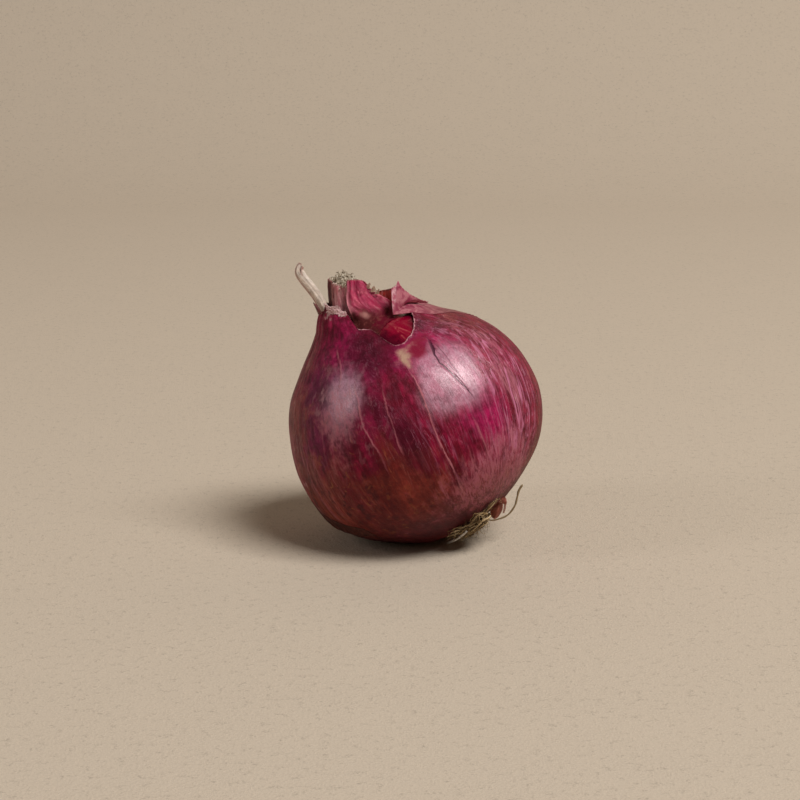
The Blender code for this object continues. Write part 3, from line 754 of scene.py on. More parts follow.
def add_sheet(name, points, thickness, finish, values=None):
    """A thin closed sheet from a grid of points, its outer face.  Its points know how far
    they are from a free edge ("edge", mm) and where they lie on it ("weave", metres)."""
    rows, columns = points.shape[:2]
    wide = np.linalg.norm(np.diff(points, axis=1), axis=-1)
    long = np.linalg.norm(np.diff(points, axis=0), axis=-1)
    left = np.hstack([np.zeros((rows, 1)), np.cumsum(wide, axis=1)])
    low = np.vstack([np.zeros((1, columns)), np.cumsum(long, axis=0)])
    edge = np.minimum(np.minimum(left, left[:, -1:] - left), np.minimum(low, low[-1:] - low)) / MM
    weave = np.stack([left - left[:, -1:] / 2, low, np.zeros_like(low)], -1)
    count = rows * columns
    border = list(range(columns)) + [n * columns + columns - 1 for n in range(1, rows)]
    border += [count - 1 - n for n in range(1, columns)] + [n * columns for n in range(rows - 2, 0, -1)]
    faces = grid_faces(rows, columns) + grid_faces(rows, columns, first=count, flip=True)
    faces += [(b, a, a + count, b + count) for a, b in zip(border, border[1:] + border[:1])]
    held = {"edge": edge, "weave": weave, "fold": np.zeros_like(edge)}
    held.update(values or {})
    held = {key: np.concatenate([value.reshape(count, *value.shape[2:])] * 2) for key, value in held.items()}
    both_faces = np.concatenate([points, points - facing(points) * thickness])
    return add_piece(name, both_faces, faces, finish, held)


def papery(name, deep, light, streak, torn, roughness=0.5, streaks=0.6, frayed=0.5):
    """A dry skin: lengthwise fibres between two colours, a streak colour and torn edges, with painted shade
    in the troughs of its folds and painted light on their crests.
    """
    made, tree, shader = new_finish(name, Specular_IOR_Level=0.45, Specular_Tint=(1.0, 0.6, 0.62, 1.0))
    place = object_place(tree)
    weave = add_node(tree, "Attribute", {}, attribute_name="weave").outputs["Vector"]
    bands = noise(spread(weave, (1.0, 0.35, 1.0)), 440, 4, 0.62, 1.0)
    threads = noise(spread(weave, (1.0, 0.22, 1.0)), 1500, 3, 0.6, 0.9)
    cloud = noise(place, 620, 4, 0.6, 0.3)
    colour = mix(fade(bands, 0.34, 0.66), deep, light)
    colour = mix(times(fade(threads, 0.50, 0.74), streaks), colour, streak)
    # Painted shade and light: the troughs of the folds are darker and their crests lighter, over a random
    # mottling
    shade = times(fade(cloud, 0.25, 0.75, 0.72, 1.22), fade(mask(tree, "fold"), -1, 1, 0.70, 1.15))
    gray = add_node(tree, "CombineColor", {0: shade, 1: shade, 2: shade}).outputs[0]
    colour = mix(1.0, colour, gray, "MULTIPLY")
    ravel = centred(noise(place, 1500, 3), 1.1)
    edge = fade(plus(mask(tree, "edge"), ravel), frayed, 0.1)
    colour = mix(times(edge, 0.8), colour, torn)
    paint(shader, Base_Color=colour, Roughness=fade(bands, 0.3, 0.7, roughness + 0.08, roughness - 0.06))
    emboss(shader, plus(times(bands, 1.2), threads, cloud), 0.10 * MM, 0.8)
    return made, tree, shader, colour


def neck_scale(node, start, end, bottom, high, folds, depth, seed, finish, tatter=0.016):
    """A dry scale round the stump, between two angles; bottom is a (degrees, station) table."""
    along = np.linspace(0, 1, 54)[:, None]
    across = np.linspace(0, 1, max(30, int((end - start) * 0.7)))[None, :]
    degrees = start + (end - start) * across + 2.5 * np.sin(along * 9 + seed) * (across - 0.5)
    low = np.interp(degrees, [p[0] for p in bottom], [p[1] for p in bottom])
    top = high + tatter * ragged(across * 360 + seed * 40, seed, 1.4)
    low = low + 0.006 * ragged(across * 360 + seed * 70, seed + 3, 1.0)
    station = low + (top - low) * along
    rng = np.random.default_rng(seed)
    phase, sway = rng.uniform(0, 6.28, 2)
    fold = np.cos(math.tau * folds * (across + 0.06 * np.sin(along * 3 + sway)) + phase)
    fold = 0.75 * fold + 0.25 * np.cos(math.tau * folds * 2.3 * across + sway + along * 2)
    lift = SCALE_ABOVE_FLESH - flesh_depth(station) + depth * (0.35 + 0.65 * along) * fold
    free = np.minimum(across, 1 - across) * (end - start)
    lift = lift + 0.35 * np.exp(-free / 4) + 0.25 * along ** 6
    piece = add_sheet(node, onion_surface(station, degrees, lift * MM), SCALE_THICKNESS, finish,
                      {"fold": 0.5 * np.broadcast_to(fold, station.shape)})
    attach(piece, "root")
    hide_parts(node)


dark_scale = papery("dark_scale", (0.060, 0.004, 0.008), (0.17, 0.014, 0.026), (0.30, 0.10, 0.10),
                    (0.30, 0.12, 0.11), roughness=0.45, streaks=0.2)[0]
gray_scale = papery("gray_pink_scale", (0.46, 0.115, 0.150), (0.66, 0.33, 0.34), (0.78, 0.55, 0.53),
                    (0.74, 0.62, 0.55), roughness=0.55, streaks=0.35)[0]
neck_scale("neck_left_scale", start=150, end=229, bottom=[(150, 0.755), (229, 0.755)], high=0.985,
           folds=1.7, depth=0.22, seed=2, finish=dark_scale)
neck_scale("neck_front_scale", start=226, end=293, bottom=[(226, 0.762), (293, 0.762)], high=0.965,
           folds=1.6, depth=0.34, seed=6, finish=gray_scale, tatter=0.035)
neck_scale("neck_back_scale", start=300, end=508, bottom=[(300, 0.765), (350, 0.745), (508, 0.745)],
           high=0.968, folds=6, depth=0.30, seed=4, finish=dark_scale)

# The crimson scale on the right isn't wrapped: it drapes like a tent of dry skin from the
# stump down to the right shoulder, where it is grown on.  Its rows run up to the stump, and
# the points of a row from its front edge to its back edge.
DRAPE = [
    [(-19.0, -8.4, 35.6), (-15.2, -8.2, 35.7), (-11.4, -7.6, 35.6), (-8.4, -5.2, 35.8), (-7.6, -2.4, 37.3)],
    [(-19.8, -7.0, 37.2), (-17.2, -7.2, 37.4), (-14.0, -6.4, 37.3), (-11.2, -4.0, 37.8), (-10.2, -1.6, 38.9)],
    [(-20.1, -5.8, 39.2), (-18.4, -6.0, 39.4), (-16.2, -5.0, 39.3), (-13.9, -3.0, 39.8), (-12.9, -1.3, 40.5)],
    [(-20.1, -4.7, 41.3), (-19.0, -5.0, 41.5), (-17.4, -4.0, 41.4), (-15.7, -2.5, 41.9), (-14.4, -1.1, 42.0)],
    [(-20.1, -4.0, 43.7), (-19.3, -4.1, 44.0), (-18.1, -3.4, 43.9), (-16.9, -2.4, 43.8), (-15.6, -1.2, 43.1)],
]
# Its two lowest rows lie on the flesh: stations, degrees and mm above it
DRAPE_FEET = [([0.675, 0.655, 0.668, 0.678, 0.672], [273, 284, 297, 309, 322], 0.25),
              ([0.742, 0.716, 0.704, 0.698, 0.686], [274, 285, 297, 309, 322], 0.45)]
DRAPE_ROWS = 76
DRAPE_COLUMNS = 84


def from_centre(points):
    """Places given in mm from the middle of the bulb."""
    return np.array(CENTRE) + np.asarray(points, float) * MM


def smooth_rows(points, count):
    """Points along a smooth curve, or a row of curves, that runs along the first axis."""
    return curve_through(np.asarray(points, float), np.linspace(0, 1, count))


def patch(points, rows, columns):
    """A smooth surface through a small grid of points, given row by row."""
    across = smooth_rows(np.swapaxes(np.asarray(points, float), 0, 1), columns)
    return smooth_rows(np.swapaxes(across, 0, 1), rows)


drape_rows = []
for station, degrees, high in DRAPE_FEET:
    station = np.array(station)
    drape_rows.append(onion_surface(station, degrees, (high - flesh_depth(station)) * MM))
drape_rows += [from_centre(row) for row in DRAPE]
drape_points = patch(drape_rows, DRAPE_ROWS, DRAPE_COLUMNS)
along = np.linspace(0, 1, DRAPE_ROWS)[:, None]
across = np.linspace(0, 1, DRAPE_COLUMNS)[None, :]
fold = np.cos(math.tau * 2.4 * (across + 0.16 * np.sin(along * 4)) + 1.2) * 0.7
fold = fold + 0.25 * np.cos(math.tau * 5.3 * (across - 0.12 * np.cos(along * 6)) + along * 5)
fold = fold + 0.25 * np.sin(along * 16 + across * 9)
free = np.minimum(across, 1 - across) * 30
drape_lift = 0.30 * fold * np.clip(free, 0, 1.5) / 1.5 + 0.30 * np.exp(-(1 - across) * 18)
drape_lift = drape_lift * np.clip((along - 0.12) * 5, 0.15, 1)
drape_points = drape_points + facing(drape_points) * drape_lift[..., None] * MM
drape_points[..., 2] += 0.55 * MM * ragged(across * 360, 93, 1.3) * np.clip((along - 0.8) / 0.2, 0, 1)
# Painted shade: the foot of the drape, low down where it lies close to the flesh, is painted dark
drape_shaded_foot = np.clip(1.5 - along / 0.36, 0, 1) + 0 * across
drape_blot = bell(along + 0.15 * (across - 0.26), 0.29, 0.045) * bell(across, 0.25, 0.12)
crimson_scale, tree, shader, colour = papery("crimson_scale", (0.25, 0.005, 0.040), (0.43, 0.050, 0.115),
                                             (0.58, 0.26, 0.30), (0.45, 0.14, 0.16),
                                             roughness=0.38, streaks=0.4)
shader.inputs["Specular Tint"].default_value = (1.0, 0.30, 0.34, 1.0)
cloud = centred(noise(object_place(tree), 300, 4, 0.65, 0.5), 1.3)
flecks = fade(noise(object_place(tree), 800, 4, 0.7, 0.6), 0.50, 0.66)
# Painted shade at the foot: dark brown towards the front edge and dark red towards the back
browned = fade(plus(mask(tree, "side"), cloud), 0.35, 0.7)
foot_shade = mix(browned, (0.060, 0.009, 0.009), (0.105, 0.001, 0.013))
colour = mix(fade(plus(mask(tree, "foot"), cloud), 0.15, 0.8), colour, foot_shade)
colour = mix(times(flecks, mask(tree, "foot"), 0.6), colour, (0.20, 0.055, 0.045))
colour = mix(fade(plus(mask(tree, "blot"), cloud), 0.2, 1.2), colour, (0.44, 0.20, 0.18))
paled = fade(plus(mask(tree, "side"), times(cloud, 0.15)), 0.22, 0.0)
colour = mix(times(paled, fade(mask(tree, "foot"), 0.8, 0.2), 0.7), colour, (0.52, 0.20, 0.24))
rough = shader.inputs["Roughness"].links[0].from_socket
paint(shader, Base_Color=colour, Roughness=plus(rough, times(mask(tree, "foot"), 0.4)))
drape = add_sheet("neck_right_scale", drape_points, SCALE_THICKNESS, crimson_scale,
                  {"fold": fold, "foot": drape_shaded_foot, "side": across + 0 * along, "blot": drape_blot})
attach(drape, "root")
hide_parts("neck_right_scale")

# The torn membrane between the neck and the loose skin, rust-red and thin enough to glow,
# and a few pale crumbs of skin that are left standing on its edge.  It grows out of the
# flesh inside the tear.
MEMBRANE_FOOT = ([0.80, 0.765, 0.735, 0.715, 0.70], [340, 346, 350, 356, 4])     # stations, degrees
MEMBRANE_MIDDLE = [(-13.8, -1.5, 38.6), (-11.8, -1.2, 38.2), (-9.4, -1.0, 38.0), (-7.6, -1.5, 38.2),
                   (-5.4, -1.0, 38.6)]
MEMBRANE_TIP = [(-14.2, -0.6, 40.6), (-11.8, 0.0, 40.3), (-9.2, 0.2, 40.4), (-7.4, -0.6, 41.2),
                (-5.6, -1.0, 42.2)]
MEMBRANE_ROWS = 34
MEMBRANE_COLUMNS = 60
rust_finish, tree, shader, colour = papery("rust_membrane", (0.14, 0.008, 0.007), (0.30, 0.026, 0.018),
                                           (0.42, 0.10, 0.06), (0.05, 0.012, 0.010),
                                           roughness=0.42, streaks=0.4, frayed=0.7)
shader.inputs["Subsurface Weight"].default_value = 0.35
shader.inputs["Subsurface Radius"].default_value = (1.0 * MM, 0.25 * MM, 0.2 * MM)
shader.inputs["Subsurface Scale"].default_value = 1.0
membrane_rows = [onion_surface(*MEMBRANE_FOOT, -1.2 * MM), from_centre(MEMBRANE_MIDDLE),
                 from_centre(MEMBRANE_TIP)]
membrane_points = patch(membrane_rows, MEMBRANE_ROWS, MEMBRANE_COLUMNS)
along = np.linspace(0, 1, MEMBRANE_ROWS)[:, None]
across = np.linspace(0, 360, MEMBRANE_COLUMNS)
wrinkle = 0.16 * ribs(across[None, :], 0.5 * along, 4, 12, 8) * MM
membrane_points += wrinkle[..., None] * np.array([0.2, -0.9, 0.3])
membrane_points[..., 2] += along ** 2 * 0.5 * MM * ragged(across, 17, 1.2)
membrane = add_sheet("inner_membrane", membrane_points, 0.14 * MM, rust_finish)
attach(membrane, "root")
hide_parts("inner_membrane")

crumb_finish = papery("pale_crumb", (0.66, 0.55, 0.40), (0.84, 0.76, 0.62), (0.90, 0.84, 0.72),
                      (0.80, 0.70, 0.56), roughness=0.7)[0]
CRUMBS = [((-14.0, -1.6, 41.2), (-13.5, -2.0, 43.0), 1.2), ((-12.7, -2.0, 40.3), (-12.2, -2.6, 42.2), 1.7),
          ((-11.7, -2.6, 39.8), (-10.9, -3.2, 41.4), 1.1)]       # foot, tip and width in mm
for number, (foot, tip, width) in enumerate(CRUMBS):
    foot = np.array(foot)
    tip = np.array(tip)
    side = np.array([width / 2, 0, 0])
    bulge = np.array([0, -0.35, 0])
    low_row = [foot - side, foot + bulge, foot + side]
    high_row = [tip - side * 0.7 - (tip - foot) * 0.3, tip + bulge, tip + side * 0.4 - (tip - foot) * 0.45]
    crumb_points = patch([from_centre(low_row), from_centre(high_row)], 12, 12)
    crumb_points[..., 1] += 0.15 * MM * np.sin(np.arange(12) * 1.9 + number)
    crumb = add_sheet(f"skin_crumb_{number + 1}", crumb_points, 0.2 * MM, crumb_finish)
    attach(crumb, "root")

# Torn flakes: whitish tatters of the coat that curl off its rim at the foot of the neck.
# Each grows out of the coat just below the rim.
FLAKES = 24
flake_finish = papery("torn_flake", (0.44, 0.13, 0.17), (0.76, 0.50, 0.51), (0.80, 0.64, 0.62),
                      (0.74, 0.54, 0.53), roughness=0.6)[0]
rng = np.random.default_rng(29)
for number in range(FLAKES):
    at = rng.uniform(226, 266)
    edge = float(rim_table(COAT_RIM, np.array([at]))[0])
    low = edge - rng.uniform(0.002, 0.024)
    reach = rng.uniform(0.006, 0.018)
    half = rng.uniform(3, 8)
    slant = rng.uniform(-8, 8)
    height = rng.uniform(0.25, 0.9)
    feet = onion_surface(low + 0.001 * rng.normal(0, 1, 4), at + half * np.array([-1, -0.3, 0.3, 1]),
                         0.12 * MM)
    waist = onion_surface(low + reach * rng.uniform(0.3, 0.7, 4),
                          at + slant / 2 + half * np.array([-0.8, -0.3, 0.4, 0.7]),
                          height * rng.uniform(0.4, 0.9, 4) * MM)
    tips = onion_surface(low + reach * rng.uniform(0.4, 1.0, 4),
                         at + slant + half * np.array([-0.6, -0.2, 0.2, 0.5]),
                         height * rng.uniform(0.7, 1.3, 4) * MM)
    flake_points = patch([feet, waist, tips], 9, 10)
    flake = add_sheet(f"torn_flake_{number + 1}", flake_points, 0.12 * MM, flake_finish)
    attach(flake, "root")

# The loose skin on the right shoulder: a matte sheet of the oldest skin, dusty rose-brown,
# that has slipped off the coat.  Beside the neck it stands up in a flap with a pale curl.
SHOULDER_EDGE = [(0.464, 374), (0.508, 369), (0.552, 361), (0.600, 341), (0.640, 333), (0.678, 318)]
SHOULDER_END = 436
SHOULDER_ROWS = 70
SHOULDER_COLUMNS = 150
FLAP_ROWS = 30
# The flap's top edge: degrees where it starts, and its place in mm from the bulb's middle
FLAP_TOP = [(311, -9.0, -7.0, 41.6), (315, -8.2, -7.8, 42.0), (319, -7.0, -7.4, 42.3),
            (322.5, -6.1, -6.2, 42.8), (325, -5.5, -5.6, 44.2), (327.5, -4.7, -5.3, 42.6),
            (332, -3.6, -4.9, 41.3), (338, -2.0, -4.2, 40.0), (346, 0.4, -3.4, 38.5), (354, 3.2, -2.4, 37.3)]
FLAP_ENDS = 366                    # degrees where the flap has come down to the coat

along = np.linspace(0, 1, SHOULDER_ROWS)[:, None]
across = np.linspace(0, 1, SHOULDER_COLUMNS)[None, :] ** 1.5
low = SHOULDER_EDGE[0][0] + 0.022 * np.sin(across * 7.0) + 0.16 * np.clip(across - 0.45, 0, 1) ** 1.6
low = low + 0.012 * ragged(across * 190, 51, 0.37) + 0.004 * ragged(across * 360, 58, 1.3)
station = low + (SHOULDER_EDGE[-1][0] - low) * along
start = np.interp(station, [p[0] for p in SHOULDER_EDGE], [p[1] for p in SHOULDER_EDGE])
start = start + 1.6 * ragged(along * 360, 52, 1.2) * (1 - along)
end = SHOULDER_END - 16 * (1 - along) ** 2 + 7 * np.sin(along * 8) + 5 * ragged(along * 190, 53, 0.5)
degrees = start + (end - start) * across
fold = ribs(degrees, station, 20, 60, 33)
free = np.minimum(np.minimum(degrees - start, end - degrees), (station - low) * 160)
off = np.clip(free / 7, 0, 1)
slack = 0.25 + 0.08 * fold + 0.10 * ribs(degrees, station, 6, 16, 34, 50)
lift = coat_lift(degrees, station) + 0.13 + off * slack
sheet = onion_surface(station, degrees, lift * MM)
top_degrees = degrees[-1]
top_table = np.array(FLAP_TOP).T
targets = np.stack([np.interp(top_degrees, top_table[0], row) for row in top_table[1:]], -1)
flat_top = onion_surface(0.672, top_degrees, 0.5 * MM)
stands = np.clip((FLAP_ENDS - top_degrees) / (FLAP_ENDS - FLAP_TOP[-1][0]), 0, 1)[:, None]
stands = stands ** 2 * (3 - 2 * stands)
rise = flat_top * (1 - stands) + from_centre(targets) * stands
rise[:, 2] += 0.35 * MM * ragged(top_degrees * 6, 55, 1.0) * stands[:, 0]
foot = sheet[-1]
halfway = 0.5 * (foot + rise) + stands * np.array([-0.1, -0.35, -0.1]) * MM
flap = patch([foot, halfway, rise], FLAP_ROWS, SHOULDER_COLUMNS)[1:]
up_flap = np.linspace(0, 1, FLAP_ROWS - 1)[:, None]
crumple = ribs(np.broadcast_to(top_degrees * 5, flap.shape[:2]), 0.4 * up_flap, 4, 14, 57)
flap += (0.12 * MM * crumple * stands[:, 0])[..., None] * np.array([0.1, -0.8, 0.3])
shoulder_points = np.concatenate([sheet, flap])
curl = np.concatenate([np.zeros(station.shape), bell(top_degrees, 320, 5.5) * up_flap ** 0.25])
upright = np.concatenate([0.75 * stands[:, 0] * np.clip(along * 1.6 - 0.3, 0, 1),
                          stands[:, 0] * (0.75 + 0.25 * up_flap)])
fold = np.concatenate([fold, crumple])

loose, tree, shader, colour = papery("loose_skin", (0.175, 0.043, 0.048), (0.32, 0.130, 0.125),
                                     (0.44, 0.26, 0.23), (0.28, 0.10, 0.10),
                                     roughness=0.6, streaks=0.35, frayed=0.3)
pinkish = mix(fade(noise(object_place(tree), 500, 3, 0.6, 0.5), 0.4, 0.62),
              (0.29, 0.032, 0.080), (0.50, 0.165, 0.205))
colour = mix(fade(mask(tree, "upright"), 0.05, 1.0), colour, pinkish)
torn_tone = fade(noise(object_place(tree), 700, 3, 0.6, 0.5), 0.4, 0.6)
curled = mix(torn_tone, (0.42, 0.10, 0.15), (0.66, 0.36, 0.40))
colour = mix(fade(mask(tree, "curl"), 0.4, 0.85), colour, curled)
paint(shader, Base_Color=colour)
shoulder = add_sheet("shoulder_skin", shoulder_points, 0.18 * MM, loose,
                     {"curl": curl, "upright": upright, "fold": fold})
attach(shoulder, "root")
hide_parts("shoulder_skin")

# The base flake: a brittle edge of old skin, low on the left, painted dark for the shade it
# lies in.  It is a thin sheet that follows the coat and has lifted along its lower edge.
along = np.linspace(0, 1, 24)[:, None]
across = np.linspace(0, 1, 90)[None, :]
degrees = 188 + 36 * across + 0 * along
middle = 0.304 - 0.066 * across
station = middle + 0.026 * (along - 0.5) - 0.008 * (1 - along) * ragged(across * 360, 61, 1.6)
lifted = (1 - along) ** 1.5 * np.sin(math.pi * across) ** 0.7
lift = 0.10 + 0.80 * lifted * np.ones_like(degrees) + 0.05 * ribs(degrees, station, 30, 70, 62)
# Painted shade: the flake's colours are near black for the shade low on the left
old_skin = papery("old_skin", (0.030, 0.007, 0.006), (0.085, 0.020, 0.014), (0.15, 0.05, 0.03),
                  (0.05, 0.02, 0.014), roughness=0.6, streaks=0.4)[0]
flake_points = onion_surface(station, degrees, lift * MM)
flake_points[..., 2] = np.maximum(flake_points[..., 2], coat_low[2] + 0.3 * MM)
flake = add_sheet("base_flake", flake_points, 0.2 * MM, old_skin)
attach(flake, "root")
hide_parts("base_flake")

# The last dry leaf: a straw-coloured blade that has rolled itself up and bends to the left,
# with a split, hooked tip, and a dark splinter of skin at its foot.
LEAF_RADIUS = 1.5 * MM
LEAF_SEAM = -150                   # degrees from the front to where the roll laps over
LEAF_WRAP = 205
LEAF_ROUTE = [(-25.6, -1.6, 32.0), (-26.6, -2.2, 35.4), (-28.2, -2.4, 38.6), (-30.2, -2.4, 41.4),
              (-32.0, -2.3, 43.6), (-33.3, -2.2, 45.4), (-33.6, -2.1, 46.9), (-32.9, -2.0, 48.3)]
LEAF_ROWS = 90
LEAF_COLUMNS = 64


def frames(path, front):
    """Unit vectors along a path, towards its front, and to its side."""
    ahead = np.gradient(path, axis=0)
    ahead /= np.linalg.norm(ahead, axis=-1, keepdims=True)
    faced = np.zeros_like(path)
    front = np.asarray(front, float)
    for n, way in enumerate(ahead):
        front = front - way * np.dot(front, way)
        front = front / np.linalg.norm(front)
        faced[n] = front
    return ahead, faced, np.cross(ahead, faced)


leaf_path = smooth_rows(from_centre(LEAF_ROUTE), LEAF_ROWS)
ahead, faced, side = frames(leaf_path, (0.0, -1.0, 0.0))
lap = np.linspace(-1, 1, LEAF_COLUMNS)[None, :]
along = np.linspace(0, 1, LEAF_ROWS)[:, None]
reach = 1 - 0.24 * bell(lap, -0.02, 0.07) - 0.06 * np.clip((lap - 0.05) / 0.1, 0, 1)
reach = reach - 0.03 * ragged(lap * 180, 71)
share = np.clip(along * reach, 0, 1)
where = share * (LEAF_ROWS - 1)
angle = np.radians(LEAF_SEAM + LEAF_WRAP * (lap + 1) / 2 * 1.9 - 20)
girth = LEAF_RADIUS * np.interp(share, [0, 0.2, 0.5, 0.75, 0.88, 1], [0.75, 1.0, 1.0, 0.9, 0.72, 0.62])
girth = girth * (1.08 - 0.10 * (lap + 1))
girth = girth * (1 + 0.05 * np.cos(angle * 5 + along * 4) + 0.03 * np.cos(angle * 11))


def read_along(values, where):
    """Read rows of values at fractional row numbers."""
    return np.stack([np.interp(where, np.arange(len(values)), values[:, n]) for n in range(3)], -1)


leaf_points = read_along(leaf_path, where)
leaf_points += girth[..., None] * (np.cos(angle)[..., None] * read_along(faced, where)
                                   + np.sin(angle)[..., None] * read_along(side, where))
tinted = np.clip(bell(np.degrees(angle) + 0 * along, -75, 26) + 0.9 * bell(along, 0, 0.14), 0, 1)
tinted = np.clip(tinted + 0.7 * np.clip((along - 0.82) / 0.1, 0, 1) * bell(lap, 0.2, 0.35), 0, 1)
straw, tree, shader, colour = papery("straw", (0.66, 0.54, 0.44), (0.84, 0.75, 0.66), (0.90, 0.84, 0.76),
                                     (0.46, 0.30, 0.25), roughness=0.55, streaks=0.4, frayed=0.25)
paint(shader, Base_Color=mix(times(mask(tree, "tinted"), 0.8), colour, (0.36, 0.125, 0.11)))
leaf = add_sheet("dry_leaf", leaf_points, 0.18 * MM, straw, {"tinted": tinted})
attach(leaf, "root")
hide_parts("dry_leaf")


def small_sheet(name, rows, size, thickness, finish):
    """A thin sheet through rows of places, given in mm from the middle of the bulb."""
    return add_sheet(name, patch([from_centre(row) for row in rows], *size), thickness, finish)


SPLINTER = [[(-28.3, -4.4, 34.2), (-27.6, -5.4, 34.4), (-26.9, -5.4, 34.6)],
            [(-28.9, -4.8, 35.8), (-28.4, -5.5, 35.9), (-27.8, -5.3, 36.0)],
            [(-29.4, -4.8, 36.9), (-29.0, -5.3, 37.0), (-28.6, -5.0, 37.0)],
            [(-29.7, -4.6, 37.6), (-29.5, -4.9, 37.7), (-29.4, -4.7, 37.6)]]
splinter_finish = papery("splinter", (0.10, 0.02, 0.02), (0.30, 0.09, 0.09), (0.50, 0.30, 0.28),
                         (0.06, 0.02, 0.015))[0]
splinter = small_sheet("leaf_splinter", SPLINTER, (22, 12), 0.16 * MM, splinter_finish)
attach(splinter, "root")
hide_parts("leaf_splinter")

# The crumbly crown of the neck: the frayed, grey-brown ends of the leaf bases, curled and
# matted into a low dome.  Short strands are strewn over a lumpy core.
CROWN_STATION = 0.968
CROWN_INSET = 1.1                  # mm from the coat's line at the neck to the crown's rim
CROWN_HEIGHT = 2.108 * MM
CROWN_SHIFT = np.array([0.5, -0.3, 0.5]) * MM
CROWN_SIDES = 40
SKIRT = np.array([0, 0, 1.2 * MM])  # how far the core reaches down inside the neck


def tube(path, radii, sides=6):
    """Points and faces of a closed, tapered tube along a path."""
    path = np.asarray(path, float)
    start = path[1] - path[0]
    level = abs(start[2]) < 0.7 * np.linalg.norm(start)
    ahead, faced, side = frames(path, (0.0, 0.0, 1.0) if level else (1.0, 0.0, 0.0))
    turn = math.tau * np.arange(sides) / sides
    ring = faced[:, None] * np.cos(turn)[None, :, None] + side[:, None] * np.sin(turn)[None, :, None]
    points = path[:, None] + ring * np.asarray(radii, float)[:, None, None]
    return points.reshape(-1, 3), drum_faces(len(path), sides)


def add_strands(name, strands, finish, sides=6):
    """One piece from many strands, each a path, its radii and its tone from 0 to 1."""
    points, faces, tones = [], [], []
    for path, radii, tone in strands:
        ring_points, ring_faces = tube(path, radii, sides)
        first = sum(len(p) for p in points)
        faces += [tuple(first + n for n in face) for face in ring_faces]
        points.append(ring_points)
        tones.append(np.full(len(ring_points), tone))
    return add_piece(name, np.concatenate(points), faces, finish, {"tone": np.concatenate(tones)})


def fibrous(name, dark, middle, light, roughness=0.8):
    """Dry plant fibre: each strand has its own tone, mottled and rough."""
    made, tree, shader = new_finish(name, Specular_IOR_Level=0.3)
    place = object_place(tree)
    specks = noise(place, 1100, 3, 0.6, 0.4)
    tone = plus(mask(tree, "tone"), centred(specks, 0.9))
    colour = mix(fade(tone, 0.05, 0.5), dark, middle)
    colour = mix(fade(tone, 0.5, 1.0), colour, light)
    paint(shader, Base_Color=colour, Roughness=fade(specks, 0.3, 0.7, roughness - 0.1, roughness + 0.1))
    emboss(shader, specks, 0.12 * MM, 0.8)
    return made


def tuft_tree():
    """Geometry Nodes that strew strands over a surface and keep the surface too."""
    made = bpy.data.node_groups.new("tuft", "GeometryNodeTree")
    made.interface.new_socket("Surface", in_out="INPUT", socket_type="NodeSocketGeometry")
    for name, kind in (("Strands", "Collection"), ("Per Square Metre", "Float"), ("Smallest", "Float"),
                       ("Largest", "Float"), ("Tilt", "Float"), ("Seed", "Int"), ("Finish", "Material")):
        made.interface.new_socket(name, in_out="INPUT", socket_type="NodeSocket" + kind)
    made.interface.new_socket("Tuft", in_out="OUTPUT", socket_type="NodeSocketGeometry")
    given = made.nodes.new("NodeGroupInput").outputs
    result = made.nodes.new("NodeGroupOutput")

    def node(kind, links, **settings):
        added = made.nodes.new(kind)
        for key, value in settings.items():
            setattr(added, key, value)
        for key, value in links.items():
            if is_socket(value):
                made.links.new(value, added.inputs[key])
            else:
                added.inputs[key].default_value = value
        return added

    seed = given["Seed"]
    spots = node("GeometryNodeDistributePointsOnFaces",
                 {"Mesh": given["Surface"], "Density": given["Per Square Metre"], "Seed": seed})
    kinds = node("GeometryNodeCollectionInfo",
                 {"Collection": given["Strands"], "Separate Children": True, "Reset Children": True})
    back = node("ShaderNodeMath", {0: given["Tilt"], 1: -1.0}, operation="MULTIPLY")
    least = node("ShaderNodeCombineXYZ", {"X": back.outputs[0], "Y": back.outputs[0], "Z": 0.0})
    most = node("ShaderNodeCombineXYZ", {"X": given["Tilt"], "Y": given["Tilt"], "Z": math.tau})
    lean = node("FunctionNodeRandomValue", {0: least.outputs[0], 1: most.outputs[0], "Seed": seed},
                data_type="FLOAT_VECTOR")
    turn = node("FunctionNodeEulerToRotation", {0: lean.outputs[0]})
    facing = node("FunctionNodeRotateRotation",
                  {"Rotation": spots.outputs["Rotation"], "Rotate By": turn.outputs[0]},
                  rotation_space="LOCAL")
    size = node("FunctionNodeRandomValue", {2: given["Smallest"], 3: given["Largest"], "Seed": seed},
                data_type="FLOAT")
    strewn = node("GeometryNodeInstanceOnPoints",
                  {"Points": spots.outputs["Points"], "Instance": kinds.outputs[0], "Pick Instance": True,
                   "Rotation": facing.outputs[0], "Scale": size.outputs[1]})
    both_parts = node("GeometryNodeJoinGeometry", {})
    made.links.new(strewn.outputs[0], both_parts.inputs[0])
    made.links.new(given["Surface"], both_parts.inputs[0])
    real = node("GeometryNodeRealizeInstances", {0: both_parts.outputs[0]})
    painted = node("GeometryNodeSetMaterial", {"Geometry": real.outputs[0], "Material": given["Finish"]})
    made.links.new(painted.outputs[0], result.inputs[0])
    return made


TUFT = tuft_tree()


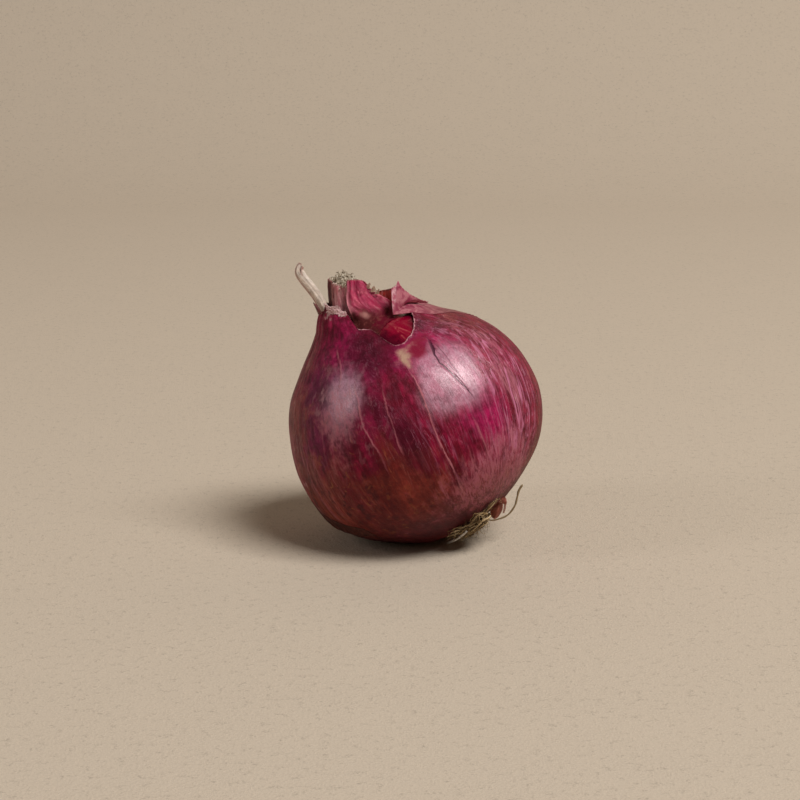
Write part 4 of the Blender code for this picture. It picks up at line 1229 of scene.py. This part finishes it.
def strew(surface, strands, floor, **sizes):
    """Run the tuft tree on a surface, and return the result as a plain piece above a floor."""
    modifier = surface.modifiers.new("Tuft", "NODES")
    modifier.node_group = TUFT
    named = {"Strands": strands, "Finish": surface.data.materials[0]}
    named.update({key.replace("_", " "): value for key, value in sizes.items()})
    for item in TUFT.interface.items_tree:
        if item.item_type == "SOCKET" and item.in_out == "INPUT" and item.name in named:
            modifier[item.identifier] = named[item.name]
    evaluated = surface.evaluated_get(bpy.context.evaluated_depsgraph_get())
    mesh = bpy.data.meshes.new_from_object(evaluated)
    name, finish = surface.name, surface.data.materials[0]
    surface.modifiers.clear()
    bpy.data.objects.remove(surface)
    for thing in list(strands.objects):
        bpy.data.objects.remove(thing)
    for vert in mesh.vertices:
        vert.co.z = max(vert.co.z, floor)
    made = bpy.data.objects.new(name, mesh)
    bpy.context.scene.collection.objects.link(made)
    return made


def curls(name, finish, count, turns, length, radius, seed, sides=4, steps=9):
    """A collection of curled strands that stand on the origin, each a little different."""
    rng = np.random.default_rng(seed)
    made = bpy.data.collections.new(name)
    for number in range(count):
        share = np.linspace(0, 1, steps)
        spin = math.tau * turns * rng.uniform(0.5, 1.3) * share + rng.uniform(0, math.tau)
        swing = length * rng.uniform(0.18, 0.34) * share ** 0.7
        tall = length * rng.uniform(0.55, 1.0)
        path = np.stack([swing * np.cos(spin), swing * np.sin(spin), tall * share], -1)
        path[:, :2] -= path[0, :2]
        strand = add_strands(f"{name}_{number}", [(path, radius * (1.05 - 0.6 * share), rng.uniform(0, 1))],
                             finish, sides)
        bpy.context.scene.collection.objects.unlink(strand)
        made.objects.link(strand)
    return made


frayed_fibre = fibrous("frayed_fibre", (0.34, 0.275, 0.205), (0.56, 0.475, 0.365), (0.70, 0.63, 0.52))
turn = 360.0 * np.arange(CROWN_SIDES) / CROWN_SIDES
rim = onion_surface(CROWN_STATION, turn, -CROWN_INSET * MM)
hub = rim.mean(axis=0)
rounds = np.linspace(0.0, 1.0, 12)[1:, None, None]
dome = hub + (rim - hub) * rounds + CROWN_SHIFT
lumps = 1 + 0.35 * ribs(turn[None, :], rounds[..., 0], 3, 9, 66)
dome[..., 2] += CROWN_HEIGHT * (1 - rounds[..., 0] ** 2) * lumps
dome = np.concatenate([dome[-1:] - SKIRT, dome[::-1]])
crown = add_piece("neck_crown", dome, drum_faces(len(dome), CROWN_SIDES), frayed_fibre,
                  {"tone": np.full(dome.shape[0] * CROWN_SIDES, 0.2)})
crown_curls = curls("crown_curl", frayed_fibre, count=9, turns=1.5, length=1.35 * MM, radius=0.24 * MM,
                    seed=77, sides=5)
crown = strew(crown, crown_curls, coat_low[2],
              Per_Square_Metre=2.4e6, Smallest=0.5, Largest=1.2, Tilt=1.0, Seed=4)
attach(crown, "root")
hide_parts(*[f"neck_fibre_{n}" for n in range(1, 8)])

# The root plate: the corky disc that the roots grow from, in the opening of the coat.  It is
# a thick disc with a bumpy face, set against the end of the bulb.
PLATE_RADIUS = 6.1 * MM
PLATE_FACE = 1.8 * MM              # how far its face lies below the end of the bulb's outline
PLATE_THICKNESS = 1.75 * MM
PLATE_SIDES = 96


def under_plate(across, depth, turn):
    """Places round the bulb's axis at its root end: metres out, metres down, degrees."""
    across, depth, around = np.broadcast_arrays(across, depth, np.radians(turn))
    out = across * np.cos(around)
    up = OUTLINE[0, 1] * BULB_RADIUS - depth
    return np.stack([out * math.cos(LEAN) - up * math.sin(LEAN), across * np.sin(around),
                     out * math.sin(LEAN) + up * math.cos(LEAN)], -1) + np.array(CENTRE)


turn = -360.0 * np.arange(PLATE_SIDES)[None, :] / PLATE_SIDES
rounds = np.concatenate([np.linspace(0.03, 0.97, 16), [1.0, 1.0, 0.95]])[:, None]
depth = PLATE_FACE * np.ones_like(rounds)
depth[-3] -= 0.15 * MM
depth[-2] -= PLATE_THICKNESS * 0.8
depth[-1] -= PLATE_THICKNESS
bumps = 0.16 * MM * ribs(turn, rounds, 5, 22, 81) * (rounds < 0.98)
uneven = 1 + 0.02 * ribs(turn, rounds, 6, 20, 83)
plate_points = under_plate(rounds * PLATE_RADIUS * uneven, depth + bumps, turn)
cork = fibrous("cork", (0.035, 0.020, 0.010), (0.13, 0.078, 0.036), (0.26, 0.17, 0.09), 0.9)
plate = add_piece("root_plate", plate_points, drum_faces(len(rounds), PLATE_SIDES), cork,
                  {"tone": np.full(len(rounds) * PLATE_SIDES, 0.45)})
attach(plate, "root")
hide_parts("root_plate")

# The dried roots: brittle golden-brown strings that leave the plate in rings, sweep round
# it and mat together under the bulb, with finer hair roots between them.
ROOT_RADIUS = 0.24 * MM
ROOT_RINGS = [(1.5, 2.6, 14), (3.0, 2.0, 20), (4.4, 1.4, 24), (5.5, 0.9, 24)]   # mm out, mm down, roots
ROOT_FLOOR = 0.12 * MM
ROOT_MAT = 120                     # roots matted over the front of the opening
root_finish = fibrous("root_fibre", (0.030, 0.016, 0.007), (0.21, 0.13, 0.052), (0.60, 0.45, 0.26), 0.75)


def above_floor(path, thick):
    """A strand's path, lifted where it would sink into the floor."""
    path[:, 2] = np.maximum(path[:, 2], coat_low[2] + ROOT_FLOOR + thick)
    return path


rng = np.random.default_rng(15)
strands = []
for out, down, count in ROOT_RINGS:
    for number in range(count):
        turn = 360.0 * (number + rng.uniform(-0.4, 0.4)) / count
        sweep = rng.choice([-1, 1]) * rng.uniform(10, 75)
        reach = rng.uniform(2.0, 6.2) * (1.15 + 0.25 * math.cos(math.radians(turn - 200)))
        share = np.linspace(0, 1, 7)
        wander = np.cumsum(rng.normal(0, 0.16, (7, 3)), axis=0) * (share > 0)[:, None]
        drop = down * np.sin(np.minimum(share * 3.2, math.pi / 2)) * rng.uniform(0.6, 1.25)
        path = under_plate((out + reach * share ** 1.2) * MM, PLATE_FACE + (drop - 0.3) * MM,
                           turn + sweep * share ** 1.1)
        path = smooth_rows(path + wander * MM, 20)
        thick = ROOT_RADIUS * rng.uniform(0.45, 1.0)
        radii = thick * np.linspace(1.1, 0.45, 20)
        strands.append((above_floor(path, thick), radii, rng.uniform(0.1, 0.95)))
for number in range(ROOT_MAT):
    share = np.linspace(0, 1, 8)
    middle = rng.uniform(261, 287)
    room = 1 - ((middle - 275) / 22) ** 2
    if number % 3:
        run = rng.uniform(8, 26)
        turn = np.clip(middle + run * (0.5 - share), 255, 290) + rng.normal(0, 0.5, 8)
        station = 0.128 + room * rng.uniform(-0.034, 0.022) + 0.010 * np.sin(share * 3 + rng.uniform(0, 6))
        lift = 0.5 + room * rng.uniform(0.2, 2.4) + rng.normal(0, 0.14, 8)
    else:
        turn = middle + rng.uniform(-12, 6) * share ** 1.4 + rng.normal(0, 0.7, 8)
        station = 0.05 + rng.uniform(0.05, 0.10) * share ** 0.8
        lift = 0.6 + room * rng.uniform(0.5, 2.6) * np.sin(share * 2.6) + rng.normal(0, 0.14, 8)
    if number % 12 == 1:
        turn = rng.uniform(280, 288) + rng.uniform(10, 18) * share + rng.normal(0, 0.5, 8)
        station = 0.135 + 0.022 * share
        lift = rng.uniform(0.5, 0.9) + rng.normal(0, 0.12, 8)
    path = smooth_rows(onion_surface(station, turn, np.maximum(lift, 0.3) * MM), 24)
    thick = ROOT_RADIUS * rng.uniform(0.45, 1.05)
    tone = rng.choice([rng.uniform(0.0, 0.4), rng.uniform(0.6, 1.1)])
    strands.append((above_floor(path, thick), thick * np.linspace(1.1, 0.4, 24), tone))
tuft = add_strands("root_tuft", strands, root_finish)
hair_roots = curls("hair_root", root_finish, count=9, turns=0.7, length=3.4 * MM, radius=0.055 * MM,
                   seed=91, sides=3, steps=8)
tuft = strew(tuft, hair_roots, coat_low[2] + ROOT_FLOOR,
             Per_Square_Metre=4.5e5, Smallest=0.4, Largest=1.2, Tilt=1.2, Seed=9)
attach(tuft, "root")
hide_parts(*[f"root_{n:02d}" for n in range(1, 19)])

# Two roots that stand apart from the tuft: a long golden-brown one that curls up on the
# right, and a short pale one in front.  Each is one dry, tapered string.
LONG_ROOT = [(19.6, -6.4, -25.6), (21.6, -6.9, -26.2), (23.8, -7.0, -25.8), (26.5, -7.0, -24.5),
             (28.4, -6.8, -22.0), (29.1, -6.6, -19.6), (29.6, -6.4, -17.4), (30.7, -6.2, -15.6)]
LONG_GIRTH = [(0, 0.240), (0.25, 0.225), (0.5, 0.270), (0.8, 0.300), (0.93, 0.390), (1, 0.180)]   # mm
PALE_ROOT = [(14.2, -20.5, -25.4), (13.2, -19.5, -26.6), (11.8, -17.2, -28.4), (10.3, -14.0, -30.3),
             (8.7, -9.8, -32.3)]
PALE_GIRTH = [(0, 0.259), (0.4, 0.370), (0.93, 0.3885), (1, 0.259)]


def single_root(node, route, girth, steps, unevenness, waves, finish, tone):
    """A root that stands apart, with its girth given along it."""
    share = np.linspace(0, 1, steps)
    radii = np.interp(share, [p[0] for p in girth], [p[1] for p in girth]) * MM
    radii = radii * (1 + unevenness * np.sin(waves * share))
    piece = add_strands(node, [(smooth_rows(from_centre(route), steps), radii, tone)], finish, 10)
    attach(piece, "root")
    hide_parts(node)


golden_finish = fibrous("long_root", (0.10, 0.065, 0.040), (0.27, 0.19, 0.10), (0.40, 0.31, 0.20), 0.7)
pale_finish = fibrous("pale_root", (0.48, 0.45, 0.42), (0.68, 0.65, 0.61), (0.80, 0.77, 0.73), 0.7)
single_root("long_root", LONG_ROOT, LONG_GIRTH, 48, 0.12, 40, golden_finish, 0.5)
single_root("pale_root", PALE_ROOT, PALE_GIRTH, 36, 0.10, 31, pale_finish, 0.6)

# The scrap at the edge of the root plate: a reddish-brown leftover of papery skin that
# hangs down, with its upper end folded over and a pale torn strip beside it.
SCRAP_SIZE = 0.84                  # the rows below are drawn a little larger than life
SCRAP_PLACE = np.array([23.5, -12.6, -20.4])
SCRAP = [[(-2.5, 0.8, -3.7), (-1.3, -0.2, -4.4), (0.1, 1.0, -3.9)],
         [(-2.8, 0.7, -1.5), (-0.6, -0.9, -1.9), (1.4, 1.1, -1.5)],
         [(-1.6, 0.6, 0.6), (0.1, -0.8, 0.7), (1.6, 1.1, 0.9)],
         [(-1.0, 0.6, 2.3), (0.4, -0.4, 2.9), (1.8, 0.8, 2.9)]]
SCRAP_FOLD = [[(-1.8, -0.8, 1.3), (0.0, -1.6, 2.1), (2.5, -0.6, 0.6)],
              [(-1.6, -1.1, 2.3), (0.4, -2.0, 3.2), (2.8, -1.0, 1.9)],
              [(-1.2, -0.2, 3.5), (0.6, -0.6, 4.3), (2.5, 0.0, 3.1)],
              [(-0.9, 1.0, 3.7), (0.6, 0.8, 4.2), (2.0, 1.0, 3.3)]]
STRIP = [[(1.4, 0.1, -2.4), (2.0, -0.1, -2.2)],
         [(1.7, -0.2, -0.5), (2.5, -0.4, -0.4)],
         [(1.9, 0.0, 1.1), (2.6, -0.2, 1.0)]]


def hung(rows):
    """Rows of places round the scrap's own middle, set at the edge of the opening."""
    return np.array(rows) * SCRAP_SIZE + SCRAP_PLACE


scrap_finish = papery("scrap_skin", (0.20, 0.050, 0.032), (0.33, 0.10, 0.065), (0.44, 0.20, 0.15),
                      (0.46, 0.22, 0.18), roughness=0.6, streaks=0.4, frayed=0.4)[0]
strip_finish = papery("pale_strip", (0.45, 0.24, 0.19), (0.60, 0.40, 0.34), (0.66, 0.50, 0.44),
                      (0.5, 0.3, 0.25))[0]
scrap = small_sheet("root_skin_scrap", hung(SCRAP), (26, 18), 0.16 * MM, scrap_finish)
fold_over = small_sheet("scrap_fold", hung(SCRAP_FOLD), (20, 24), 0.16 * MM, scrap_finish)
strip = small_sheet("scrap_strip", hung(STRIP), (16, 6), 0.14 * MM, strip_finish)
for piece in (scrap, fold_over, strip):
    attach(piece, "root")
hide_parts("root_skin_scrap")
